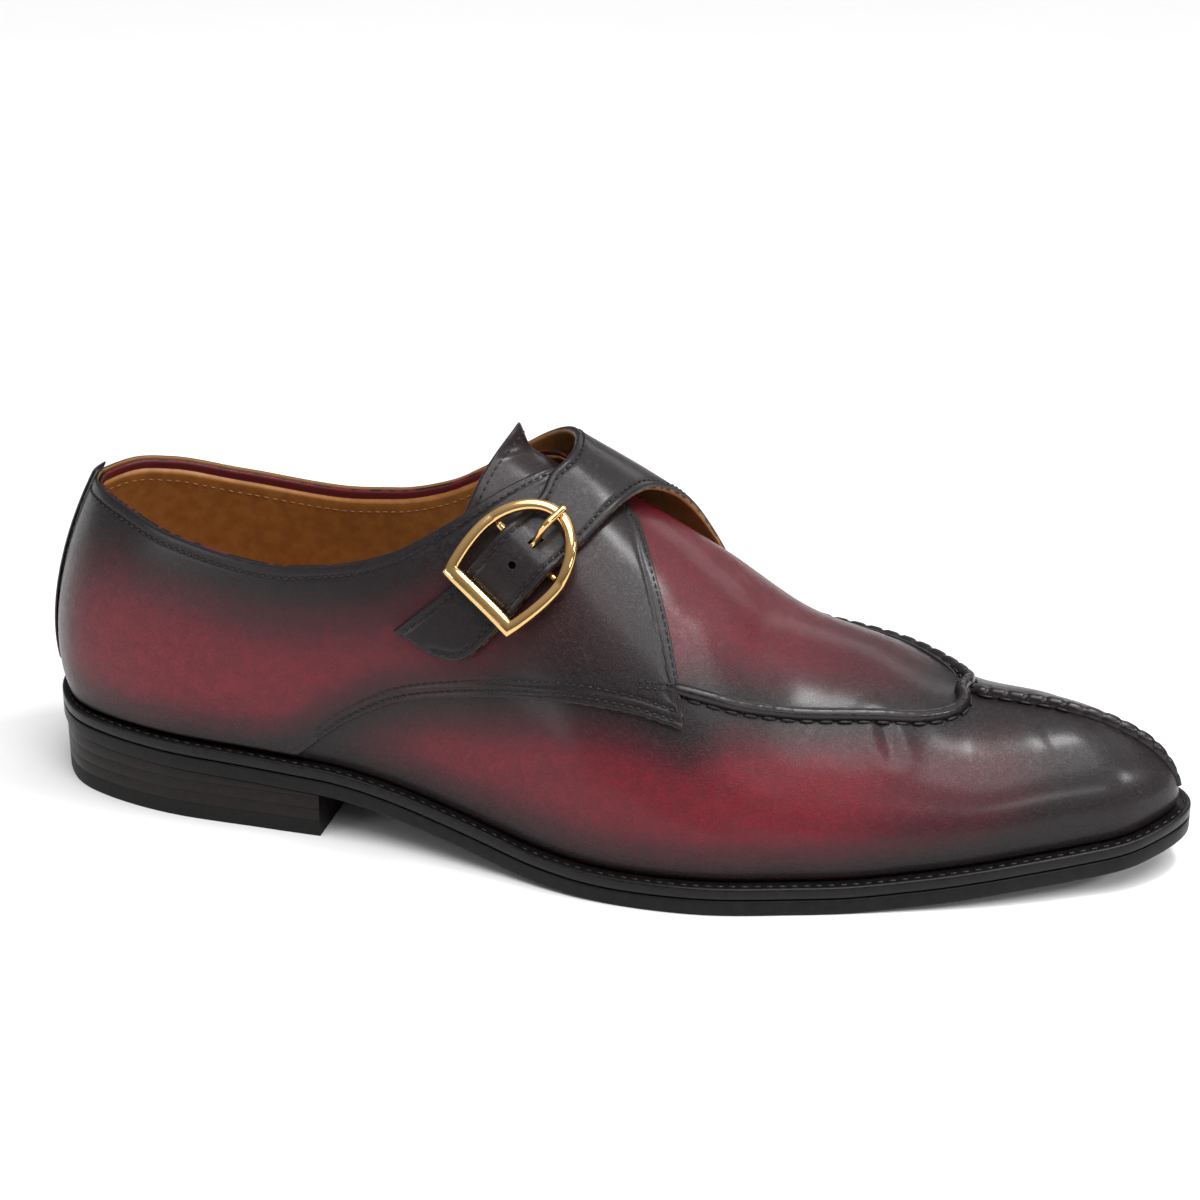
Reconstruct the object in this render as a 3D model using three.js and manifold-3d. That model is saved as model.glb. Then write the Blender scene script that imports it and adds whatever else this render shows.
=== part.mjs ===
import * as THREE from "three";
import { mergeVertices } from "three/addons/utils/BufferGeometryUtils.js";
import Module from "manifold-3d";

const wasm = await Module();
wasm.setup();

// Driving sizes, in mm. X runs from the heel to the toe, Y to the inner side of the foot, Z up.
const shoeLength = 310; // outsole, heel back to toe tip
const ballWidth = 100; // outsole across the ball
const upperHeight = 100; // closed last above the welt, which the ribs' heights follow
const heelHeight = 16; // floor to the outsole's underside at the back
const heelLength = 86; // heel back to breast
const toeSpring = 9.6; // floor to the outsole's underside at the tip
const topPieceThickness = 4.5;
const liftCount = 2;
const wedgeBreast = 0.75; // heel wedge at the breast, where it is thinnest
const heelInset = 0.7; // heel inside the outsole's edge
const outsoleThickness = 4.2;
const weltThickness = 3.1;
const weltLedge = 3.8; // welt and outsole beyond the upper
const weltInset = 7; // welt inside the feather line
const insoleThickness = 2.6;
const insoleClearance = 0.8; // insole to the wall of the upper
const upperWall = 1.6; // lining and vamp together
const quarterLeather = 1.2;
const tongueLeather = 1.6;
const tongueClearance = 1.4; // tongue under the wall of the upper
const tongueRise = 3.4; // free end of the tongue above the closed last
const strapLeather = 2.2;
const strapWidth = 17; // at the buckle
const strapReach = 30; // buckle's middle to the strap's tip
const tipLift = 0.3; // free end of the strap off the quarter
const strapRise = 4.6; // how far the strap stands off over the instep
const seamWidth = 3.6; // raised seams of the apron and the toe
const seamHeight = 1.9;
const stripWidth = 9; // strip over the seam at the heel's back
const stripLeather = 0.8;
const seatGap = 0.35; // between two pieces that lie on each other
const buckleWidth = 24.6; // over the straight bar
const buckleBelly = 28.6; // over the widest part of the arch
const buckleBar = 10.5; // buckle's middle to the outer edge of the bar
const buckleArch = 18.5; // buckle's middle to the outer edge of the arch
const buckleWire = 3;
const postWire = 2;
const postBack = 7; // post behind the buckle's middle, towards the arch
const prongWire = 1.8;
const slotWidth = 3; // hole for the prong
const slotLength = 7.4;
const spareHole = 2;
const spareHoleBack = 2.3; // spare hole behind the buckle's middle

const lastLength = shoeLength - 2 * weltLedge;
const lastWidth = ballWidth - 2 * weltLedge;

// Underside of the outsole. at: share of the shoe's length. rise: share of the heel height up to
// the ball, of the toe spring after it.
const soleProfile = [
  { at: 0, rise: 1 },
  { at: 0.278, rise: 0.775 },
  { at: 0.34, rise: 0.6 },
  { at: 0.403, rise: 0.363 },
  { at: 0.484, rise: 0.07 },
  { at: 0.555, rise: 0 },
  { at: 0.63, rise: 0 },
  { at: 0.72, rise: 0 },
  { at: 0.79, rise: 0.135 },
  { at: 0.871, rise: 0.405 },
  { at: 0.942, rise: 0.615 },
  { at: 1, rise: 1 },
];
const ballStation = 0.63;

// Ribs of the last from the heel's back to the toe tip. Lengths along are shares of the last's
// length, lengths across are shares of its width and heights are shares of the upper's height.
// at, outer, inner: feather line. crown, top: where the two halves meet on the ridge. slope: fall of
// the ridge. out, up: handle at the feather line. flat, flatInner, upInner: handles at the ridge and
// the rise on the inner side.
const ribs = [
  { at: -0.001, outer: 0, inner: 0, crown: 0.146, top: 0.97, slope: 0.5, out: 0.114, up: 0.22, flat: 0.325, upInner: 0.22, flatInner: 0.325 },
  { at: 0.015, outer: 0.151, inner: 0.151, crown: 0.153, top: 0.975, slope: 0.45, out: 0.097, up: 0.23, flat: 0.315, upInner: 0.23, flatInner: 0.315 },
  { at: 0.05, outer: 0.257, inner: 0.251, crown: 0.173, top: 0.98, slope: 0.3, out: 0.076, up: 0.26, flat: 0.292, upInner: 0.26, flatInner: 0.292 },
  { at: 0.126, outer: 0.338, inner: 0.325, crown: 0.206, top: 0.985, slope: 0, out: 0.054, up: 0.3, flat: 0.27, upInner: 0.3, flatInner: 0.27 },
  { at: 0.226, outer: 0.364, inner: 0.335, crown: 0.265, top: 0.98, slope: -0.2, out: 0.043, up: 0.33, flat: 0.292, upInner: 0.33, flatInner: 0.292 },
  { at: 0.331, outer: 0.39, inner: 0.294, crown: 0.345, top: 0.965, slope: -0.4, out: 0.032, up: 0.33, flat: 0.281, upInner: 0.33, flatInner: 0.281 },
  { at: 0.434, outer: 0.468, inner: 0.284, crown: 0.431, top: 0.912, slope: -0.55, out: 0.027, up: 0.32, flat: 0.27, upInner: 0.32, flatInner: 0.27 },
  { at: 0.526, outer: 0.552, inner: 0.327, crown: 0.51, top: 0.815, slope: -0.62, out: 0.043, up: 0.3, flat: 0.303, upInner: 0.3, flatInner: 0.303 },
  { at: 0.616, outer: 0.565, inner: 0.411, crown: 0.593, top: 0.663, slope: -0.6, out: 0.049, up: 0.28, flat: 0.325, upInner: 0.3, flatInner: 0.33 },
  { at: 0.698, outer: 0.506, inner: 0.462, crown: 0.665, top: 0.508, slope: -0.36, out: 0.049, up: 0.24, flat: 0.281, upInner: 0.265, flatInner: 0.32 },
  { at: 0.781, outer: 0.424, inner: 0.449, crown: 0.741, top: 0.437, slope: -0.26, out: 0.043, up: 0.2, flat: 0.235, upInner: 0.215, flatInner: 0.27 },
  { at: 0.854, outer: 0.34, inner: 0.39, crown: 0.804, top: 0.345, slope: -0.4, out: 0.038, up: 0.18, flat: 0.205, upInner: 0.18, flatInner: 0.22 },
  { at: 0.92, outer: 0.238, inner: 0.298, crown: 0.854, top: 0.312, slope: -0.12, out: 0.038, up: 0.16, flat: 0.184, upInner: 0.17, flatInner: 0.19 },
  { at: 0.97, outer: 0.141, inner: 0.195, crown: 0.89, top: 0.292, slope: -0.1, out: 0.038, up: 0.13, flat: 0.173, upInner: 0.13, flatInner: 0.173 },
  { at: 1, outer: -0.016, inner: 0.016, crown: 0.91, top: 0.275, slope: -0.18, out: 0.032, up: 0.1, flat: 0.173, upInner: 0.1, flatInner: 0.173 },
];
const lastRib = ribs.length - 1;

// Lines on the last. rib: number of the rib, with parts between two. up: share of the way up it.
const topline = [
  { rib: 0, up: 0.585 },
  { rib: 1, up: 0.57 },
  { rib: 2, up: 0.53 },
  { rib: 3, up: 0.462 },
  { rib: 4, up: 0.428 },
  { rib: 4.5, up: 0.447 },
  { rib: 5, up: 0.505 },
  { rib: 5.5, up: 0.62 },
  { rib: 6, up: 0.785 },
  { rib: 6.3, up: 0.9 },
  { rib: 6.55, up: 1 },
];
const throatRib = 6.55;
const quarterFront = [
  { rib: 6.3, up: 0.9 },
  { rib: 6.6, up: 0.962 },
  { rib: 6.9, up: 0.97 },
  { rib: 7.2, up: 0.93 },
  { rib: 7.42, up: 0.805 },
  { rib: 7.6, up: 0.683 },
  { rib: 7.74, up: 0.565 },
  { rib: 7.86, up: 0.43 },
];
const quarterArc = [
  { rib: 4.25, up: 0.012 },
  { rib: 4.45, up: 0.067 },
  { rib: 4.7, up: 0.13 },
  { rib: 5.15, up: 0.213 },
  { rib: 5.7, up: 0.279 },
  { rib: 6.3, up: 0.34 },
  { rib: 7, up: 0.393 },
  { rib: 7.5, up: 0.412 },
  { rib: 7.86, up: 0.414 },
];
const innerArc = [
  { rib: 4.25, up: 0.012 },
  { rib: 4.45, up: 0.067 },
  { rib: 4.7, up: 0.13 },
  { rib: 5.15, up: 0.213 },
  { rib: 5.7, up: 0.279 },
  { rib: 6.3, up: 0.33 },
  { rib: 7, up: 0.375 },
  { rib: 7.6, up: 0.405 },
];
// Rungs of the inner quarter and the strap between the sole and the buckle: its lower or front edge
// and its upper or rear edge. Sides are shares of the way down a rib from the ridge, positive on the
// inner side. rise: how far the band stands off, as a share of the strap's rise, past the ridge.
const cornerRung = 4;
const bandRungs = [
  { lowRib: 5.7, lowSide: 0.721, highRib: 5.4, highSide: 0.405, rise: 1 },
  { lowRib: 6.25, lowSide: 0.673, highRib: 5.58, highSide: 0.35, rise: 1 },
  { lowRib: 6.85, lowSide: 0.632, highRib: 5.76, highSide: 0.295, rise: 1 },
  { lowRib: 7.42, lowSide: 0.603, highRib: 5.9, highSide: 0.245, rise: 1 },
  { lowRib: 7.95, lowSide: 0.58, highRib: 6.02, highSide: 0.2, rise: 1 },
  { lowRib: 7.88, lowSide: 0.47, highRib: 6.12, highSide: 0.16, rise: 1 },
  { lowRib: 7.75, lowSide: 0.36, highRib: 6.22, highSide: 0.115, rise: 1 },
  { lowRib: 7.58, lowSide: 0.25, highRib: 6.31, highSide: 0.07, rise: 1 },
  { lowRib: 7.4, lowSide: 0.135, highRib: 6.38, highSide: 0.025, rise: 1 },
  { lowRib: 7.24, lowSide: 0.02, highRib: 6.42, highSide: -0.025, rise: 1 },
  { lowRib: 7.08, lowSide: -0.09, highRib: 6.4, highSide: -0.085, rise: 0.9 },
  { lowRib: 6.9, lowSide: -0.2, highRib: 6.3, highSide: -0.155, rise: 0.66 },
];
const apronSeam = [
  { rib: 7.99, side: -0.49 },
  { rib: 8.3, side: -0.468 },
  { rib: 8.8, side: -0.431 },
  { rib: 9.3, side: -0.398 },
  { rib: 9.83, side: -0.362 },
  { rib: 10.28, side: -0.318 },
  { rib: 10.71, side: -0.236 },
  { rib: 11.02, side: -0.135 },
  { rib: 11.12, side: 0 },
  { rib: 11.02, side: 0.143 },
  { rib: 10.71, side: 0.256 },
  { rib: 10.28, side: 0.343 },
  { rib: 9.83, side: 0.395 },
  { rib: 9.3, side: 0.431 },
  { rib: 8.8, side: 0.466 },
  { rib: 8.3, side: 0.496 },
  { rib: 8.09, side: 0.506 },
];
const buckleSpot = { rib: 6.072, side: -0.429 };
const strapAim = { rib: 5.743, side: -0.557 };

// Value of a table's column at a place, with no wave between two rows.
function track(rows, key, value, place) {
  const n = rows.length;
  if (place <= rows[0][key]) return rows[0][value];
  if (place >= rows[n - 1][key]) return rows[n - 1][value];
  const slope = (i) => (rows[i + 1][value] - rows[i][value]) / (rows[i + 1][key] - rows[i][key]);
  const tangent = (i) => {
    if (i === 0) return slope(0);
    if (i === n - 1) return slope(n - 2);
    const a = slope(i - 1);
    const b = slope(i);
    return a * b <= 0 ? 0 : (2 * a * b) / (a + b);
  };
  let i = 0;
  while (place > rows[i + 1][key]) i++;
  const span = rows[i + 1][key] - rows[i][key];
  const s = (place - rows[i][key]) / span;
  const a = rows[i][value];
  const b = rows[i + 1][value];
  const ta = tangent(i) * span;
  const tb = tangent(i + 1) * span;
  return a + s * (ta + s * (3 * (b - a) - 2 * ta - tb + s * (ta + tb - 2 * (b - a))));
}

// Smooth run through a list of numbers, place 0 at the first.
function smooth(values, place, before, after) {
  const all = [before, ...values, after];
  const i = Math.min(Math.floor(place), values.length - 2);
  const s = place - i;
  const [a, b, c, d] = [all[i], all[i + 1], all[i + 2], all[i + 3]];
  return 0.5 * (2 * b + (c - a) * s + (2 * a - 5 * b + 4 * c - d) * s * s + (3 * b - a - 3 * c + d) * s * s * s);
}

const ease = (s) => {
  const c = Math.min(Math.max(s, 0), 1);
  return c * c * (3 - 2 * c);
};

function underside(x) {
  const at = x / shoeLength;
  return track(soleProfile, "at", "rise", at) * (at < ballStation ? heelHeight : toeSpring);
}

const soleTop = (x) => underside(x) + outsoleThickness;
const weltTop = (x) => soleTop(x) + seatGap + weltThickness;
const featherTop = (x) => weltTop(x) + seatGap;

const column = (name) => ribs.map((rib) => rib[name]);
const table = Object.fromEntries(Object.keys(ribs[0]).map((name) => [name, column(name)]));

// Feather line in plan, at a rib's number.
function feather(rib, inner) {
  const own = inner ? table.inner : table.outer.map((v) => -v);
  const other = inner ? table.outer.map((v) => -v) : table.inner;
  const x = weltLedge + lastLength * smooth(table.at, rib, table.at[1], table.at[lastRib - 1]);
  const y = lastWidth * smooth(own, rib, other[1], other[lastRib - 1]);
  return [x, y];
}

function mirrorSmooth(name, rib) {
  return smooth(table[name], rib, table[name][1], table[name][lastRib - 1]);
}

// Point of the closed last: rib number, side of the foot and share of the way up the rib.
function lastPoint(rib, inner, up) {
  const [x, y] = feather(rib, inner);
  const foot = new THREE.Vector3(x, y, featherTop(x));
  const crownX = weltLedge + lastLength * mirrorSmooth("crown", rib);
  const crown = new THREE.Vector3(crownX, 0, featherTop(crownX) + upperHeight * mirrorSmooth("top", rib));
  const away = new THREE.Vector3(foot.x - crown.x, foot.y, 0).normalize();
  const rise = upperHeight * mirrorSmooth(inner ? "upInner" : "up", rib);
  const flat = lastWidth * mirrorSmooth(inner ? "flatInner" : "flat", rib);
  const low = foot.clone().addScaledVector(away, lastWidth * mirrorSmooth("out", rib));
  low.z += rise;
  const high = crown.clone().addScaledVector(away, flat);
  high.z += mirrorSmooth("slope", rib) * (high.x - crown.x);
  const v = 1 - up;
  return foot
    .multiplyScalar(v * v * v)
    .addScaledVector(low, 3 * up * v * v)
    .addScaledVector(high, 3 * up * up * v)
    .addScaledVector(crown, up * up * up);
}

function sideNormal(rib, inner, up) {
  const step = 0.01;
  const top = Math.min(up, rib > lastRib - 1.5 ? 0.97 : 1);
  const along = lastPoint(Math.min(rib + step, lastRib), inner, top);
  along.sub(lastPoint(Math.max(rib - step, 0), inner, top));
  const climb = lastPoint(rib, inner, Math.min(top + step, 1));
  climb.sub(lastPoint(rib, inner, Math.max(top - step, 0)));
  const normal = inner ? climb.cross(along) : along.cross(climb);
  return normal.normalize();
}

// Point on the last at a height over its surface. side: 0 on the ridge, -1 and 1 at the feather line.
function over(rib, side, height) {
  const inner = side > 0;
  const up = 1 - Math.abs(side);
  const point = lastPoint(rib, inner, up);
  const normal = sideNormal(rib, inner, up);
  const shared = up > 0.9999 || rib < 1e-4 || rib > lastRib - 1e-4;
  if (shared) normal.add(sideNormal(rib, !inner, up)).normalize();
  return point.addScaledVector(normal, height);
}

// Closed solid between two like grids of points. ring joins the last row to the first. Edges that
// coincide, such as the two halves on the ridge, are joined and their wall is left out.
function solidBetween(outside, inside, ring = false) {
  const rows = outside.length;
  const columns = outside[0].length;
  const points = [...outside.flat(), ...inside.flat()];
  const faces = [];
  const half = rows * columns;
  const quad = (...corners) => faces.push(corners);
  const id = (r, c) => (r % rows) * columns + c;
  const last = ring ? rows : rows - 1;
  for (let r = 0; r < last; r++) {
    for (let c = 0; c < columns - 1; c++) {
      quad(id(r, c), id(r + 1, c), id(r + 1, c + 1), id(r, c + 1));
      quad(half + id(r, c), half + id(r, c + 1), half + id(r + 1, c + 1), half + id(r + 1, c));
    }
    quad(id(r, 0), half + id(r, 0), half + id(r + 1, 0), id(r + 1, 0));
    const e = columns - 1;
    quad(id(r, e), id(r + 1, e), half + id(r + 1, e), half + id(r, e));
  }
  if (!ring) {
    for (let c = 0; c < columns - 1; c++) {
      quad(id(0, c), id(0, c + 1), half + id(0, c + 1), half + id(0, c));
      const e = rows - 1;
      quad(id(e, c + 1), id(e, c), half + id(e, c), half + id(e, c + 1));
    }
  }
  return closed(points, faces);
}

// Geometry from points and faces of three or four corners, with like points merged and faces that
// cancel or vanish left out. A four-cornered face is split from its first point in the list, so that
// two that face each other are split alike.
function closed(points, faces) {
  const spots = new Map();
  const kept = [];
  const number = points.map((p) => {
    const key = [p.x, p.y, p.z].map((v) => Math.round(v * 500)).join();
    if (!spots.has(key)) {
      spots.set(key, kept.length);
      kept.push(p);
    }
    return spots.get(key);
  });
  const seen = new Map();
  const triangles = faces.flatMap((face) => {
    const f = face.map((i) => number[i]);
    if (f.length === 3) return [f];
    const first = f.indexOf(Math.min(...f));
    const [a, b, c, d] = [...f.slice(first), ...f.slice(0, first)];
    return [[a, b, c], [a, c, d]];
  });
  for (const f of triangles) {
    if (f[0] === f[1] || f[1] === f[2] || f[0] === f[2]) continue;
    const key = [...f].sort((a, b) => a - b).join();
    if (seen.has(key)) seen.delete(key);
    else seen.set(key, f);
  }
  const geometry = new THREE.BufferGeometry();
  geometry.setAttribute("position", new THREE.Float32BufferAttribute(kept.flatMap((p) => [p.x, p.y, p.z]), 3));
  geometry.setIndex([...seen.values()].flat());
  const volume = [...seen.values()].reduce((sum, [a, b, c]) => {
    return sum + kept[a].dot(kept[b].clone().cross(kept[c]));
  }, 0);
  if (volume < 0) {
    const flipped = [...seen.values()].flatMap(([a, b, c]) => [a, c, b]);
    geometry.setIndex(flipped);
  }
  return geometry;
}

function asSolid(geometry) {
  const bare = new THREE.BufferGeometry();
  bare.setAttribute("position", geometry.getAttribute("position"));
  if (geometry.index) bare.setIndex(geometry.index);
  const merged = mergeVertices(bare, 1e-3);
  return new wasm.Manifold(
    new wasm.Mesh({
      numProp: 3,
      vertProperties: new Float32Array(merged.attributes.position.array),
      triVerts: new Uint32Array(merged.index.array),
    }),
  );
}

function asGeometry(solid) {
  const mesh = solid.getMesh();
  const geometry = new THREE.BufferGeometry();
  geometry.setAttribute("position", new THREE.Float32BufferAttribute(mesh.vertProperties, 3));
  geometry.setIndex([...mesh.triVerts]);
  return geometry;
}

const shoe = new THREE.Group();

function add(name, geometry, colour, roughness, metalness = 0) {
  const material = new THREE.MeshStandardMaterial({ color: colour, roughness, metalness });
  const flat = geometry.index ? geometry.toNonIndexed() : geometry;
  flat.computeVertexNormals();
  const mesh = new THREE.Mesh(flat, material);
  mesh.name = name;
  shoe.add(mesh);
  return mesh;
}

const spread = (from, to, steps) => Array.from({ length: steps + 1 }, (_, i) => from + ((to - from) * i) / steps);

// Plan curves round the shoe: the feather line moved out (or in, if less than 0) by a distance.
function planPoint(rib, inner, outwards) {
  const step = 0.02;
  const a = feather(Math.max(rib - step, 0), inner);
  const b = feather(Math.min(rib + step, lastRib), inner);
  const p = feather(rib, inner);
  let normal = [b[1] - a[1], a[0] - b[0]];
  if (inner) normal = [-normal[0], -normal[1]];
  if (rib < 1e-4) normal = [-1, 0];
  if (rib > lastRib - 1e-4) normal = [1, 0];
  const size = Math.hypot(...normal);
  return [p[0] + (normal[0] / size) * outwards, p[1] + (normal[1] / size) * outwards];
}

const raise = ([x, y], height) => new THREE.Vector3(x, y, typeof height === "function" ? height(x) : height);

// Flat plate between plan rows, each a list of points from the outer to the inner side.
function plate(rows, top, bottom) {
  return solidBetween(
    rows.map((row) => row.map((p) => raise(p, top))),
    rows.map((row) => row.map((p) => raise(p, bottom))),
  );
}

// Outsole, welt and insole.
const soleRibs = [
  ...spread(0, 2, 9),
  ...spread(2, 4, 4).slice(1),
  ...spread(4, 11, 21).slice(1),
  ...spread(11, 13, 6).slice(1),
  ...spread(13, lastRib, 8).slice(1),
];
const middle = (a, b) => [(a[0] + b[0]) / 2, (a[1] + b[1]) / 2];
const soleRows = soleRibs.map((rib) => {
  const edge = planPoint(rib, false, weltLedge);
  const inset = planPoint(rib, false, -weltInset);
  const insetInner = planPoint(rib, true, -weltInset);
  const edgeInner = planPoint(rib, true, weltLedge);
  return [edge, inset, middle(inset, insetInner), insetInner, edgeInner];
});
add("outsole", plate(soleRows, soleTop, underside), 0x17130f, 0.5);

const loop = (ribList) => [
  ...ribList.map((rib) => [rib, false]),
  ...ribList.slice(1, -1).reverse().map((rib) => [rib, true]),
];
const weltRows = loop(soleRibs).map(([rib, inner]) => [
  planPoint(rib, inner, weltLedge),
  planPoint(rib, inner, -weltInset),
]);
const weltLow = (x) => soleTop(x) + seatGap;
add(
  "welt",
  solidBetween(
    weltRows.map((row) => row.map((p) => raise(p, weltTop))),
    weltRows.map((row) => row.map((p) => raise(p, weltLow))),
    true,
  ),
  0x15100e,
  0.42,
);

const insoleEdge = upperWall + insoleClearance;
const insoleRows = soleRibs.map((rib) => {
  const outer = planPoint(rib, false, -insoleEdge);
  const inner = planPoint(rib, true, -insoleEdge);
  return [outer, middle(outer, inner), inner];
});
const insoleTop = (x) => featherTop(x) + insoleThickness;
add("insole", plate(insoleRows, insoleTop, featherTop), 0x8a5a24, 0.6);

// Stacked heel: a wedge under the outsole, whole lifts and the top piece on the floor.
function heelEdge(inner, share) {
  const at = (rib) => planPoint(rib, inner, weltLedge - heelInset);
  let low = 0;
  let high = 7;
  for (let i = 0; i < 50; i++) {
    const mid = (low + high) / 2;
    if (at(mid)[0] < heelLength) low = mid;
    else high = mid;
  }
  return at(low * share);
}
const heelShares = [0, 0.04, 0.09, 0.14, 0.2, 0.26, 0.33, 0.42, 0.52, 0.64, 0.76, 0.88, 1];
const heelRows = heelShares.map((share) => [heelEdge(false, share), heelEdge(true, share)]);
const heelTop = (x) => underside(x) - seatGap;
const liftThickness = (heelTop(heelLength) - topPieceThickness - wedgeBreast) / liftCount;
add("heel_top_piece", plate(heelRows, topPieceThickness, 0), 0x121110, 0.55);
for (let i = 0; i < liftCount; i++) {
  const low = topPieceThickness + i * liftThickness;
  add(`heel_lift_${i + 1}`, plate(heelRows, low + liftThickness, low), 0x1a1411, 0.5);
}
add("heel_wedge", plate(heelRows, heelTop, topPieceThickness + liftCount * liftThickness), 0x1a1411, 0.5);

// Upper: one wall from the feather line to the topline, closed on the ridge ahead of the throat and
// open at the collar and underneath.
const upperRibs = [
  ...spread(0, 2, 7),
  ...spread(2, 4, 4).slice(1),
  ...spread(4, 6.3, 6).slice(1),
  throatRib,
  6.9,
  7.2,
  7.42,
  7.6,
  7.74,
  7.86,
  ...spread(8.25, 11, 7),
  ...spread(11, 13, 5).slice(1),
  ...spread(13, lastRib, 5).slice(1),
];
const upperColumns = 12;
const collar = (rib) => (rib >= throatRib ? 1 : track(topline, "rib", "up", rib));
function wallRows(height) {
  return loop(upperRibs).map(([rib, inner]) =>
    spread(0, collar(rib), upperColumns).map((up) => over(rib, inner ? 1 - up : up - 1, height)),
  );
}
add("upper", solidBetween(wallRows(0), wallRows(-upperWall), true), 0x5a1a1e, 0.38);

// Outer quarter, from the seam at the heel's back to its slanted front edge over the vamp.
const quarterLow = seatGap + 0.15;
const quarterHigh = seatGap + quarterLeather;
const lift = 0.012; // lower edge of the quarters over the welt, as a share of the rib
const backRib = seatGap / lastPoint(0, false, 0.3).distanceTo(lastPoint(1, false, 0.3));
const quarterRibs = [backRib, ...upperRibs.filter((rib) => rib > 0 && rib < 7.86), 7.84];
const arcUp = (rib) => (rib < quarterArc[0].rib ? lift : track(quarterArc, "rib", "up", rib));
const quarterTop = (rib) => (rib < quarterFront[0].rib ? collar(rib) : track(quarterFront, "rib", "up", rib));
const quarterColumns = 8;
function quarterRows(height) {
  return quarterRibs.map((rib) =>
    spread(arcUp(rib), quarterTop(rib), quarterColumns).map((up) => over(rib, up - 1, height)),
  );
}
add("quarter_outer", solidBetween(quarterRows(quarterHigh), quarterRows(quarterLow)), 0x4a171a, 0.4);

// Plane touching the last at the buckle: alpha along the strap to its tip, beta across it, towards
// the sole.
const spot = over(buckleSpot.rib, buckleSpot.side, 0);
const spotNormal = over(buckleSpot.rib, buckleSpot.side, 1).sub(spot).normalize();
const alphaAxis = over(strapAim.rib, strapAim.side, 0).sub(spot).projectOnPlane(spotNormal).normalize();
const betaAxis = spotNormal.clone().cross(alphaAxis);
function onPlane(alpha, beta) {
  let { rib, side } = buckleSpot;
  const read = (r, s) => {
    const p = over(r, s, 0).sub(spot);
    return [p.dot(alphaAxis), p.dot(betaAxis)];
  };
  for (let i = 0; i < 12; i++) {
    const step = 0.01;
    const now = read(rib, side);
    const r = read(rib + step, side);
    const s = read(rib, side + step);
    const m = [(r[0] - now[0]) / step, (s[0] - now[0]) / step, (r[1] - now[1]) / step, (s[1] - now[1]) / step];
    const det = m[0] * m[3] - m[1] * m[2];
    const e = [alpha - now[0], beta - now[1]];
    rib += (m[3] * e[0] - m[1] * e[1]) / det;
    side += (m[0] * e[1] - m[2] * e[0]) / det;
  }
  return { rib, side };
}
const atBuckle = (alpha, beta, height) => {
  const { rib, side } = onPlane(alpha, beta);
  return over(rib, side, height);
};

// Inner quarter and strap: one band of leather from the heel's back over the instep to the tip. Each
// rung runs from the lower or front edge to the upper or rear edge.
const half = strapWidth / 2;
const strapSeat = quarterHigh + seatGap + 0.2;
const overPost = strapSeat + postWire + seatGap;
const strapRung = (lowAlpha, lowShare, highAlpha, height, highShare = 1) => {
  const low = onPlane(lowAlpha, half * lowShare);
  const high = onPlane(highAlpha, -half * highShare);
  return { lowRib: low.rib, lowSide: low.side, highRib: high.rib, highSide: high.side, height };
};
const fan = bandRungs.map((rung) => ({ ...rung, height: quarterLow + strapRise * rung.rise }));
const tail = [
  strapRung(-buckleArch, 1, -buckleArch, strapSeat + 0.45 * postWire),
  strapRung(-buckleArch * 0.68, 1, -buckleArch * 0.68, strapSeat + 0.25 * postWire),
  strapRung(-postBack, 1, -postBack, overPost),
  strapRung(0, 1, 0, overPost - 0.25 * postWire),
  strapRung(buckleBar * 0.6, 1, buckleBar * 0.6, strapSeat + 0.2 * postWire),
  strapRung(buckleBar, 0.96, buckleBar, strapSeat),
  strapRung(strapReach * 0.64, 0.9, strapReach * 0.6, strapSeat + tipLift * 0.8, 1.16),
  strapRung(strapReach * 0.8, 0.64, strapReach * 0.82, strapSeat + tipLift, 1.32),
  strapRung(strapReach * 0.92, -0.05, strapReach, strapSeat + tipLift, 1.46),
];
const fanRib = 5.2;
const bandRibs = [backRib, ...upperRibs.filter((rib) => rib > 0 && rib < fanRib - 0.1), fanRib];
const quarterRung = (rib) => {
  const lowSide = 1 - (rib < innerArc[0].rib ? lift : track(innerArc, "rib", "up", rib));
  return { lowRib: rib, lowSide, highRib: rib, highSide: 1 - collar(rib), height: quarterLow + strapRise };
};

// Rungs between the given ones, in even parts of each step.
function between(list, parts) {
  const names = Object.keys(list[0]).filter((name) => name !== "rise");
  const n = list.length;
  return spread(0, n - 1, (n - 1) * parts).map((place) => {
    const rung = {};
    for (const name of names) {
      const values = list.map((r) => r[name]);
      rung[name] = smooth(values, place, 2 * values[0] - values[1], 2 * values[n - 1] - values[n - 2]);
    }
    return rung;
  });
}
const rungs = [
  ...bandRibs.slice(0, -1).map(quarterRung),
  ...between([quarterRung(fanRib), ...fan.slice(0, cornerRung + 1)], 2),
  ...between([...fan.slice(cornerRung), ...tail], 2).slice(1),
];

// Share of the strap's rise and thickness: none low on the inner side, all of it at the ridge.
const liftShare = (rib, side) => (side < 0 ? 1 : ease((0.54 - side) / 0.44) * ease((rib - 4.9) / 0.9));
const bandColumns = 7;
function bandRows(skin) {
  return rungs.map((rung) =>
    spread(0, 1, bandColumns).map((s) => {
      const rib = rung.lowRib + s * (rung.highRib - rung.lowRib);
      const side = rung.lowSide + s * (rung.highSide - rung.lowSide);
      const share = liftShare(rib, side);
      const thickness = quarterLeather + share * (strapLeather - quarterLeather);
      return over(rib, side, quarterLow + share * (rung.height - quarterLow) + skin * thickness);
    }),
  );
}
let band = asSolid(solidBetween(bandRows(1), bandRows(0)));

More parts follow.
